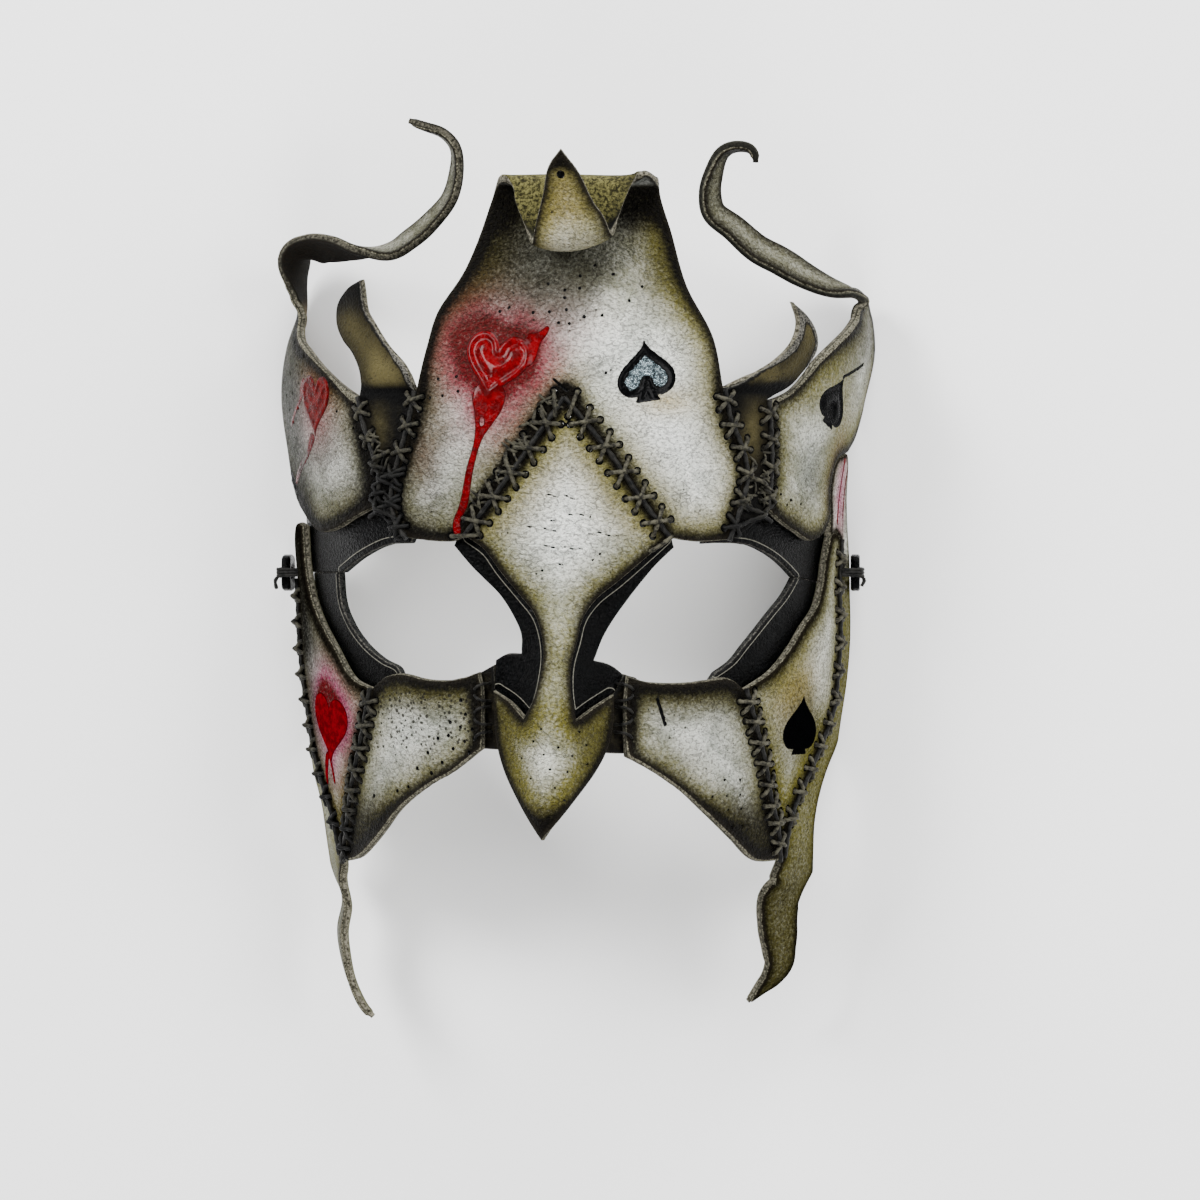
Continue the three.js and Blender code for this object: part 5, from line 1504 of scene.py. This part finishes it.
LEFT_NOSE_GUSSET = [
    [(-24, -28), (-23.5, -47.3)],
    [(-23.5, -47.3), (-11, -47.3)],
    [(-11, -47.3), (-7, -40.5)],
    [(-7, -40.5), (-13.5, -35.6), (-17.6, -31.0)],
    [(-17.6, -31.0), (-17.4, -24.8)],
    [(-17.4, -24.8), (-24, -28)],
]
RIGHT_NOSE_GUSSET = [
    [(21.0, -27.3), (18.9, -32.1)],
    [(18.9, -32.1), (13.2, -36.3), (8, -40.8)],
    [(8, -40.8), (11.5, -47.5)],
    [(11.5, -47.5), (24, -48.5)],
    [(24, -48.5), (25, -28.5)],
    [(25, -28.5), (21.0, -27.3)],
]
STRIPS = {
    "left_eye_strip_inner": LEFT_EYE_STRIP_INNER, "right_eye_strip_inner": RIGHT_EYE_STRIP_INNER,
    "left_brow_band": LEFT_BROW_BAND, "right_brow_band": RIGHT_BROW_BAND,
    "left_eye_rim_outer": LEFT_EYE_RIM_OUTER, "right_eye_rim_outer": RIGHT_EYE_RIM_OUTER,
}
NOSE_LINE = outline(NOSE_PANEL)
# Where the painted highlight line lies on each strip: a line and the distance from it
STRIP_LINES = {
    "left_eye_strip_inner": [(NOSE_LINE, 1.9)], "right_eye_strip_inner": [(NOSE_LINE, 1.9)],
    "right_eye_rim_outer": [(smooth_curve(RIGHT_EYE_RIM_OUTER[0], 1.0), 1.3)],
    "left_eye_rim_outer": [(smooth_curve(LEFT_EYE_RIM_OUTER[3], 1.0), 1.1)],
    "left_brow_band": [(smooth_curve(LEFT_BROW_BAND[0], 1.0), 2.0)],
    "right_brow_band": [(smooth_curve(RIGHT_BROW_BAND[0], 1.0), 1.6)],
}
for name, edges in STRIPS.items():
    leather_piece(name, edges, BLACK, lift=UNDERLAP, art={"lines": STRIP_LINES[name]})
for name, edges in (("left_nose_gusset", LEFT_NOSE_GUSSET), ("right_nose_gusset", RIGHT_NOSE_GUSSET)):
    leather_piece(name, edges, UMBER, lift=UNDERLAP,
                  tone=lambda s, y, edge: {"soot": 0.5})

# %% [markdown]
# ## Cheeks and sides
# The cheeks sweep down from the nose in a long curve, and the side pieces carry one more heart and
# one more spade. Olive and soot gather at the seams, where the airbrush was held close. The jaw
# strips behind them run down into the chin tails, and the right one also reaches up behind its wing,
# where it is pale with two red veins.

# %% Cut the cheeks
LEFT_CHEEK = [
    [(-20.5, -47), (-20, -39.5), (-20, -31.5), (-21, -26.7)],
    [(-21, -26.7), (-25, -28), (-31, -29), (-38.5, -28.7), (-46, -27.4), (-53, -28.4), (-58.5, -31.5)],
    SEAMS["cheek_left"],
    [(-89, -79), (-77, -77.5), (-67, -73.5), (-60, -69.5), (-53, -64.5), (-47, -61), (-38, -56.5),
     (-30, -53), (-20.5, -47)],
]
RIGHT_CHEEK = [
    [(21, -27.7), (20.7, -35), (21, -43), (21.5, -49)],
    [(21.5, -49), (29.5, -53), (39, -58.5), (46, -63.5), (58, -71.5), (68, -77.3), (81, -78)],
    SEAMS["cheek_right"][::-1],
    [(57.5, -31.5), (52, -28.6), (44, -29.1), (37, -29.7), (27, -29.3), (21, -27.7)],
]


def cheek_tone(s, y, edge):
    side = "cheek_left" if s[0] < 0 else "cheek_right"
    rough = 0.85 if s[0] < 0 else 0.15
    olive = 0.8 * halo(edge, 9) + 0.45 * ease((-y - 54) / 18) + 0.25 * ease((y + 40) / 10)
    top = 0.34 if s[0] < 0 else 0.52
    soot = 0.75 * halo(edge, 2.6) + 0.6 * ease((-y - 55) / 14) + top * ease((y + 44) / 15) ** 1.5 + 0.1
    soot = soot + 0.35 * from_seam(side, s, y, 4) + 0.5 * ease((27 - abs(s)) / 6)
    pocked = 0.1 + rough * ease((y + 56) / 14) * (1 - 0.5 * ease((abs(s) - 50) / 14))
    return {"olive": olive, "soot": soot, "bare": 0.1 + 0.5 * ease((-y - 44) / 6), "pocked": pocked}


LEFT_CHEEK_PITS = [
    (-26.7, -34.2), (-25.3, -37.9), (-23.2, -41.8), (-25.9, -45), (-30.3, -40), (-34.6, -44.3),
    (-29.7, -46.9), (-24.5, -47.9), (-38.4, -48.1), (-33.7, -50.6), (-42.7, -52.2), (-37.7, -53.4),
    (-51.3, -58.4), (-46.7, -57.2), (-31.1, -43.5), (-27.1, -41.3), (-22.7, -44.2), (-62, -60)]
RIGHT_CHEEK_PITS = [
    (52.8, -55.3), (58.4, -55.4), (49, -59.7), (54.1, -59.5), (59, -59.4), (55, -63.3), (60, -63.1),
    (57, -67.8), (61.1, -67.7)]
leather_piece("left_cheek", LEFT_CHEEK, GREY, tone=cheek_tone,
              art={"strokes": [pit(*at, 0.55) for at in LEFT_CHEEK_PITS]})
leather_piece("right_cheek", RIGHT_CHEEK, GREY, tone=cheek_tone,
              art={"strokes": [pit(*at, 0.4) for at in RIGHT_CHEEK_PITS] + [(30, -34, 32.5, -40.5, 0.5)]})

# %% Cut and carve the sides
LEFT_SIDE_PANEL = [
    [(-97, 12), (-105, 12.5), (-112, 7), (-109.5, -2.5)],
    SEAMS["jaw_left"],
    [(-90.5, -77), (-89, -79)],
    SEAMS["cheek_left"][::-1],
    [(-58.5, -31.5), (-68, -28.5), (-76.5, -20.5), (-86.5, -12), (-92.5, -5), (-95.5, 3), (-97, 12)],
]
RIGHT_SIDE_PANEL = [
    [(97, 8.5), (94.5, 2.5), (92.5, -3), (87.5, -10), (81, -15), (75.5, -20.5), (68, -26.5), (57.5, -31.5)],
    SEAMS["cheek_right"],
    [(81, -78), (83, -77)],
    SEAMS["jaw_right"][::-1],
    [(106, 8), (101, 10), (97, 8.5)],
]
SIDE_DRIPS = [
    closed_shape([(-87.8, -49.5), (-90.6, -53.5), (-91.8, -57.4), (-90.6, -58), (-88.8, -55), (-85, -49)]),
    closed_shape([(-85.4, -49.8), (-84.9, -54), (-84.9, -57.6), (-83.8, -57.4), (-83.6, -53),
                  (-83.4, -48.8)])]
SIDE_HEART = heart_ring(-82.4, -42.8, 11.6, 8.6, -8)


def left_side_tone(s, y, edge):
    bleed = np.maximum(signed_distance(np.column_stack([s, y]), SIDE_HEART), 0)
    # Darker towards the back of the side: painted shade of a side turned from the light
    soot = 0.78 * halo(edge, 2.9) + 0.42 * ease((-s - 84) / 16) + 0.35 * ease((-y - 60) / 14) + 0.1
    soot = soot + 0.4 * from_seam("cheek_left", s, y, 3.5) + 0.3 * ease((y + 30) / 12)
    return {"olive": 0.75 * halo(edge, 9) + 0.35 * ease((-y - 50) / 20), "soot": soot,
            "pink": 0.75 * np.exp(-bleed / 4.5) + 0.75 * spot(s, y, (-83, -33), 8, 8)}


def right_side_tone(s, y, edge):
    olive = 0.8 * halo(edge, 9) + 0.45 * spot(s, y, (85, -44), 12, 11) + 0.35 * ease((-y - 45) / 20)
    soot = 0.78 * halo(edge, 2.6) + 0.35 * ease((-y - 60) / 14) + 0.36 * spot(s, y, (83, -41), 9, 8)
    return {"olive": olive, "soot": soot + 0.08, "tan": 0.8 * spot(s, y, (78, -33), 12, 11)}


leather_piece("left_side_panel", LEFT_SIDE_PANEL, SIDE, tone=left_side_tone,
              art={"hearts": [SIDE_HEART], "drips": SIDE_DRIPS, "relief": 0.6})
leather_piece("right_side_panel", RIGHT_SIDE_PANEL, SIDE, tone=right_side_tone,
              art={"spades": [spade_rings(83.2, -40.8, 8.6, 6.9, 0)], "relief": 0.6})

# %% Cut the jaw strips
LEFT_JAW_STRIP = [
    [(-109.5, -2.5), (-116.5, -6), (-REAR, -14)],
    [(-REAR, -14), (-REAR, -45)],
    [(-REAR, -45), (-112, -54.5), (-105.5, -63), (-107.5, -71), TAIL_LEFT["left"][0]],
    TAIL_LEFT["left"] + [TAIL_LEFT["tip"]],
    [TAIL_LEFT["tip"]] + TAIL_LEFT["right"][::-1],
    [TAIL_LEFT["right"][0], (-90.5, -77)],
    SEAMS["jaw_left"][::-1],
]
RIGHT_JAW_STRIP = [
    SEAMS["jaw_right"],
    [(83, -77), TAIL_RIGHT["left"][0]],
    TAIL_RIGHT["left"] + [TAIL_RIGHT["tip"]],
    [TAIL_RIGHT["tip"]] + TAIL_RIGHT["right"][::-1],
    [TAIL_RIGHT["right"][0], (105, -76), (102, -68), (103, -61), (108, -54), (REAR, -47)],
    [(REAR, -47), (REAR, -12)],
    [(REAR, -12), (118.5, 0), (115, 10), (112.5, 20), (110.5, 28), (107, 31.5)],
    WING_BACK[::-1],
    [(97, 14), (97, 8.5)],
    [(97, 8.5), (101, 10), (106, 8)],
]
JAW_VEINS = [
    closed_shape([(104.4, 30.2), (104.2, 26), (102.8, 19), (101.9, 12), (101.2, 12), (102, 19), (103.3, 26),
                  (103.6, 30.2)]),
    closed_shape([(108.6, 27), (107.4, 21), (106.8, 14), (107.3, 8), (107.8, 14), (108.2, 21), (109.2, 27)])]


def left_jaw_tone(s, y, edge):
    return {"olive": 0.3 + 0.4 * halo(edge, 4), "soot": 0.45 * halo(edge, 2.2) + 0.25 * ease((-y - 70) / 20),
            "bare": 0.1 + 0.8 * ease((-y - 84) / 6), "pocked": 0.12}


def right_jaw_tone(s, y, edge):
    """Pale behind the wing, olive along the jaw."""
    pale = ease((y + 4) / 14)
    olive = (0.78 + 0.2 * halo(edge, 4)) * (1 - pale) + 0.3 * pale * halo(edge, 4)
    soot = 0.4 * halo(edge, 2) + (0.15 + 0.25 * ease((-y - 70) / 20)) * (1 - pale)
    return {"olive": olive, "soot": soot, "pink": 0.6 * pale * spot(s, y, (104, 20), 5, 12), "pocked": 0.12}


leather_piece("left_jaw_strip", LEFT_JAW_STRIP, OLIVE, jaw_form_left, tone=left_jaw_tone)
leather_piece("right_jaw_strip", RIGHT_JAW_STRIP, SIDE, jaw_form_right, tone=right_jaw_tone,
              art={"drips": JAW_VEINS})

# %% [markdown]
# ## Lacing
# The thread is two-ply waxed cord. It comes up through a hole, crosses the seam and goes down on the
# other side, and inside the mask it runs on to the next cross. A dark cord lies in the seam under
# the crosses and hides the gap. Every thread is a tube swept along a smooth path, and its section
# turns as it goes, so the two plies show as a real twist.

# %% Sweep a two-ply cord
CORD_STEP = 0.55  # spacing of the rings of a swept cord
# Radii of the cords
THREAD, SEAM_CORD, LOOSE, STITCH, LASHING, LASHING_END = 0.56, 0.72, 0.33, 0.37, 0.48, 0.5
# Heights of the middle of a thread above the grain side: the two of a cross, and one on its own
LOWER, UPPER, SINGLE = 0.95, 1.75, 0.9


def sweep(path, radius, sides=8, ply=0.16, turn=1.5):
    """A closed tube along points, with a twist of two plies."""
    run = np.gradient(path, axis=0)
    run /= np.linalg.norm(run, axis=1)[:, None]
    up = np.array([0.0, 0.0, 1.0]) if abs(run[0, 2]) < 0.9 else np.array([0.0, 1.0, 0.0])
    angles = np.linspace(0, math.tau, sides, endpoint=False)
    rows = []
    for i, (at, ahead) in enumerate(zip(path, run)):
        up = up - ahead * (up @ ahead)
        up /= np.linalg.norm(up)
        side = np.cross(ahead, up)
        reach = radius * (1 + ply * np.cos(2 * (angles - turn * i * CORD_STEP)))
        rows.append(at + np.outer(np.cos(angles) * reach, side) + np.outer(np.sin(angles) * reach, up))
    vertices = np.vstack(rows + [path[:1], path[-1:]])
    faces = []
    for i in range(len(path) - 1):
        for k in range(sides):
            n = (k + 1) % sides
            faces.append((i * sides + k, i * sides + n, (i + 1) * sides + n, (i + 1) * sides + k))
    first, last, base = len(vertices) - 2, len(vertices) - 1, (len(path) - 1) * sides
    for k in range(sides):
        n = (k + 1) % sides
        faces.append((first, n, k))
        faces.append((last, base + k, base + n))
    return vertices, faces


def join(tubes):
    vertices, faces, first = [], [], 0
    for points, polygons in tubes:
        vertices.append(points)
        faces.extend(tuple(first + k for k in polygon) for polygon in polygons)
        first += len(points)
    return np.vstack(vertices), faces


def route(stops):
    """A smooth cord path through (s, y, height) stops above the grain side."""
    stops = np.asarray(stops, float)
    return smooth_curve(lifted(shell, stops[:, :2], LEATHER / 2 + stops[:, 2]), CORD_STEP)


print("faces in 10 mm of thread:", len(sweep(straight([(0, 0, 0), (10, 0, 0)], CORD_STEP), THREAD)[1]))


# %% Dye the cords
def cord_material(name, dark, light, roughness):
    material, tree, shader = new_material(name, roughness, 0.08)
    tint = span(tree, noise(tree, 1.6, 4, 0.7), 0.38, 0.62)
    colour = mixed(tree, tint, (*dark, 1), (*light, 1))
    colour = mixed(tree, field(tree, "soot"), colour, (0.003, 0.003, 0.003, 1))
    tree.links.new(colour, shader.inputs["Base Color"])
    bump(tree, shader, times(tree, noise(tree, 0.35, 3, 0.7), 0.12))
    return material


thread_wax = cord_material("waxed_thread", (0.006, 0.0055, 0.004), (0.062, 0.058, 0.041), 0.5)
black_wax = cord_material("blackened_cord", (0.002, 0.002, 0.002), (0.012, 0.0115, 0.010), 0.42)
print("cords are dyed as", thread_wax.name, "and", black_wax.name)


# %% Lace the seams
def crossing(start, end, top):
    """One thread from hole to hole, its middle at a height above the grain side."""
    a, b = np.asarray(start, float), np.asarray(end, float)
    shares = (0, 0, 0.07, 0.27, 0.5, 0.73, 0.93, 1, 1)
    heights = (-2.2, -0.6, 0.38, 0.62, top, 0.62, 0.38, -0.6, -2.2)
    return sweep(route([(*(a + (b - a) * share), h) for share, h in zip(shares, heights)]), THREAD)


def inner_run(start, end):
    """The thread inside the mask, from one cross to the next."""
    under = -LEATHER - 0.45  # just below the flesh side
    middle = (start + end) / 2
    stops = [(*start, -1.6), (*start, under), (*middle, under - 0.1), (*end, under), (*end, -1.6)]
    return sweep(route(stops), THREAD * 0.9)


def tangle(name, side, count, band, first, last, dice):
    """Loose ends of blackened thread along one side of a seam."""
    line, tubes = smooth_curve(SEAMS[name], 0.5), []
    for _ in range(count):
        i = 1 + int(dice.uniform(first, last) * (len(line) - 3))
        run = (line[i + 1] - line[i - 1]) / np.linalg.norm(line[i + 1] - line[i - 1])
        across = np.array([-run[1], run[0]]) * side
        middle, lie = line[i] + across * dice.uniform(0.8, band), dice.uniform(-1.2, 1.2)
        d = (across * math.cos(lie) + run * math.sin(lie)) * dice.uniform(1.5, 2.6)
        stops = [(*(middle + d * k), h) for k, h in
                 ((-1, -0.5), (-0.6, 0.25), (0, dice.uniform(0.3, 0.8)), (0.6, 0.25), (1, -0.5))]
        tubes.append(sweep(route(stops), LOOSE, sides=6))
    return tubes


TANGLES = {
    "diamond_left": (-1, 34, 4.6, 0.05, 0.85), "wing_left": (1, 16, 4.0, 0.35, 1.0),
    "crown_left": (-1, 18, 2.6, 0.5, 1.0), "wing_right": (-1, 10, 3.0, 0.4, 1.0),
    "crown_right": (1, 10, 2.6, 0.5, 1.0), "cheek_left": (1, 14, 2.2, 0.0, 1.0),
}
# How dark the thread of a seam is made, and the height below which it is black
THREAD_DARKENING = {
    "crown_left": (0.35, 34), "wing_left": (0.35, 34), "crown_right": (0.25, 22), "wing_right": (0.25, 20),
    "cheek_left": (0.5, -60), "jaw_left": (0.45, -50), "diamond_left": (0.3, 0),
}


def lace_seam(name):
    tubes = []
    rows = crosses(name)
    for steep, level in rows:
        tubes.append(crossing(*steep, LOWER))
        tubes.append(crossing(*level, UPPER))
    for (steep, level), (next_steep, next_level) in zip(rows, rows[1:]):
        for side in (0, 1):
            here = min((steep[side], level[side]), key=lambda p: p[1])
            there = max((next_steep[side], next_level[side]), key=lambda p: p[1])
            tubes.append(inner_run(here, there))
    for start, end in SINGLES.get(name, ()):
        tubes.append(crossing(start, end, SINGLE))
    for i, (start, end) in enumerate(GUSSET_CROSSES.get(name, ())):
        tubes.append(crossing(start, end, 2.3 + 0.9 * (i % 2)))
    if name in TANGLES:
        side, *rest = TANGLES[name]
        tubes += tangle(name, side, *rest, random.Random(len(name)))
    vertices, faces = join(tubes)
    base, level = THREAD_DARKENING.get(name, (0.0, -200))
    soot = base + (1 - base) * 0.95 * ease((level - vertices[:, 1]) / 10)
    piece = finish_mesh(f"{name}_lacing", vertices, faces, [thread_wax], fields={"soot": soot})
    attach(piece, "root")
    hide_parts("lace_" + name)
    return len(tubes)


def seam_cord(name):
    line = smooth_curve(SEAMS[name], 1.0)
    stops = np.column_stack([line, np.full(len(line), 0.12)])
    vertices, faces = sweep(route(stops), SEAM_CORD, sides=10, ply=0.1, turn=1.1)
    piece = finish_mesh(f"{name}_seam_cord", vertices, faces, [black_wax])
    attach(piece, "root")


for name in SEAMS:
    print(name, "threads:", lace_seam(name))
    seam_cord(name)

# %% Stitch the nose gussets under the cheeks
NOSE_STITCHES = [(-30.6, 1.8), (-33.6, -1.8), (-36.6, 1.8), (-39.8, -1.8), (-43.2, 1.8)]


def overcast(edge_s, reach, y, slope):
    """A thread from the cheek down over its edge to the gusset below it."""
    stops = [(-reach, 0.0, -1.2), (-reach, 0.1, 0.3), (-0.4 * reach, 0.5, 0.75), (0.25 * reach, 0.8, 0.2),
             (0.8 * reach, 0.9, -2.1), (reach, 1.0, -3.6)]
    side = -math.copysign(1, edge_s)
    return sweep(route([(edge_s + side * a, y + slope * (b - 0.5), h) for a, b, h in stops]), STITCH)


threads = [overcast(edge_s, 1.7, y, slope) for edge_s in (-20.3, 20.8) for y, slope in NOSE_STITCHES]
vertices, faces = join(threads)
nose_stitches = finish_mesh("nose_gusset_stitches", vertices, faces, [black_wax])
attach(nose_stitches, "root")
print("nose stitches:", 2 * len(NOSE_STITCHES))

# %% [markdown]
# ## Ties at the temples
# A strap once went round the head. What shows of it is a slotted black loop at each temple. Each is
# a small upright plate, made as one closed band of eight rings round its slot, which softens its
# edges, and a few turns of cord lash it to the side.

# %% Cut the strap loops
TAB_WIDTH, TAB_HEIGHT, TAB_CORNER, TAB_BEVEL = 12.0, 9.0, 1.2, 0.35
SLOT_WIDTH, SLOT_HEIGHT, SLOT_CORNER = 6.0, 3.0, 0.6
TAB_AT = {"left": (-78.3, -1, 12), "right": (76.9, -1, 13)}


def plate_outline(width, height, corner):
    w, h, c = width / 2, height / 2, corner
    return np.array([(c - w, -h), (w - c, -h), (w, c - h), (w, h - c), (w - c, h), (c - w, h),
                     (-w, h - c), (-w, c - h)])


def ring_plate(outer, inner, bevel, thickness):
    """A flat ring with softened edges, as vertices (u, v, height) and faces."""
    count = 96

    def even(ring):
        closed = np.vstack([ring, ring[:1]])
        reach = np.concatenate([[0], np.cumsum(np.linalg.norm(np.diff(closed, axis=0), axis=1))])
        stops = np.linspace(0, reach[-1], count, endpoint=False)
        return np.column_stack([np.interp(stops, reach, closed[:, k]) for k in range(2)])

    outer, inner = even(outer), even(inner)
    loops = [(outer, bevel), (inset(outer, bevel), 0), (inset(inner, -bevel), 0), (inner, bevel),
             (inner, thickness - bevel), (inset(inner, -bevel), thickness), (inset(outer, bevel), thickness),
             (outer, thickness - bevel)]
    vertices = np.vstack([np.column_stack([ring, np.full(count, level)]) for ring, level in loops])
    faces = []
    for i in range(len(loops)):
        j = (i + 1) % len(loops)
        for k in range(count):
            n = (k + 1) % count
            faces.append((i * count + k, j * count + k, j * count + n, i * count + n))
    return vertices, faces


plate = closed_shape(plate_outline(TAB_WIDTH, TAB_HEIGHT, TAB_CORNER))
slit = closed_shape(plate_outline(SLOT_WIDTH, SLOT_HEIGHT, SLOT_CORNER))
flat_points, faces = ring_plate(plate, slit, TAB_BEVEL, LEATHER)
for side, (x, y, z) in TAB_AT.items():
    vertices = np.column_stack([x + flat_points[:, 2], y + flat_points[:, 1], z - flat_points[:, 0]])
    plain = {name: np.full(len(vertices), FAR) for name in ("edge", "ink", "highlight_line")}
    loop = finish_mesh(f"{side}_strap_loop", vertices, faces, [black_grain], fields=plain)
    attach(loop, "root")
    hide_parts(f"{side}_strap_tab")
print("strap loops cut")

# %% Lash the loops to the sides
LASHINGS = {
    "left": [(-77.2, 14.6), (-79.2, 16.2), (-78.9, 19.0), (-76.2, 20.2), (-74.2, 20.6), (-72.4, 20.2)],
    "right": [(78.2, 15.4), (80.1, 17.2), (79.7, 20.0), (77.2, 21.2), (75.2, 21.6), (73.4, 21.2)],
}
LOOSE_ENDS = {
    "left": [(-78.6, -1.5, 18.6), (-79.8, -3.2, 19.2), (-79.4, -5.4, 19.7)],
    "right": [(79.5, -1.5, 19.6), (80.6, -3.0, 20.0), (79.9, -4.6, 20.4)],
}
for side, turns in LASHINGS.items():
    tubes = []
    for y, lean_to in ((-2.0, 0.5), (-1.0, 0.2), (0.0, -0.3)):
        path = [(x, y + lean_to * k / 5, z) for k, (x, z) in enumerate(turns)]
        tubes.append(sweep(smooth_curve(path, CORD_STEP), LASHING))
    tubes.append(sweep(smooth_curve(LOOSE_ENDS[side], CORD_STEP), LASHING_END))
    vertices, faces = join(tubes)
    lashing = finish_mesh(f"{side}_loop_lashing", vertices, faces, [black_wax])
    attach(lashing, "root")
print("loops lashed")

# %% [markdown]
# ## The studio
# The photograph has a white ground and soft light from all round, a little stronger from the upper
# left. A plain white world fills the shadows, and four large soft lamps give the even light and the
# gloss on the enamel.

# %% Floor and lights
def make_floor():
    half = 3.0  # half its width, in metres
    mesh = bpy.data.meshes.new("floor")
    corners = [(-half, -half, 0), (half, -half, 0), (half, half, 0), (-half, half, 0)]
    mesh.from_pydata(corners, [], [(0, 1, 2, 3)])
    material, _, shader = new_material("pale_floor", 0.9)
    shader.inputs["Base Color"].default_value = (0.92, 0.92, 0.92, 1)
    mesh.materials.append(material)
    floor = bpy.data.objects.new("floor", mesh)
    bpy.context.scene.collection.objects.link(floor)
    floor.location.z = -0.0005


def soft_lamp(name, place_at, size, power):
    lamp = bpy.data.objects.new(name, bpy.data.lights.new(name, "AREA"))
    lamp.data.size, lamp.data.energy = size, power
    lamp.location = place_at
    aim = Vector((0, 0, 0.05)) - lamp.location
    lamp.rotation_euler = aim.to_track_quat("-Z", "Y").to_euler()
    bpy.context.scene.collection.objects.link(lamp)


make_floor()
LAMPS = {
    "key_lamp": ((-0.95, 0.75, 1.05), 0.6, 48), "fill_lamp": ((1.15, 0.25, 0.95), 0.8, 28),
    "low_lamp": ((0.1, -1.25, 0.9), 0.9, 22), "rim_lamp": ((0.35, 1.3, 0.7), 0.8, 28),
}
for name, (spot_at, size, power) in LAMPS.items():
    soft_lamp(name, spot_at, size, power)
world = bpy.data.worlds.new("studio")
world.use_nodes = True
world.node_tree.nodes["Background"].inputs["Color"].default_value = (1, 1, 1, 1)
world.node_tree.nodes["Background"].inputs["Strength"].default_value = 0.3
bpy.context.scene.world = world
print("lamps:", len(LAMPS))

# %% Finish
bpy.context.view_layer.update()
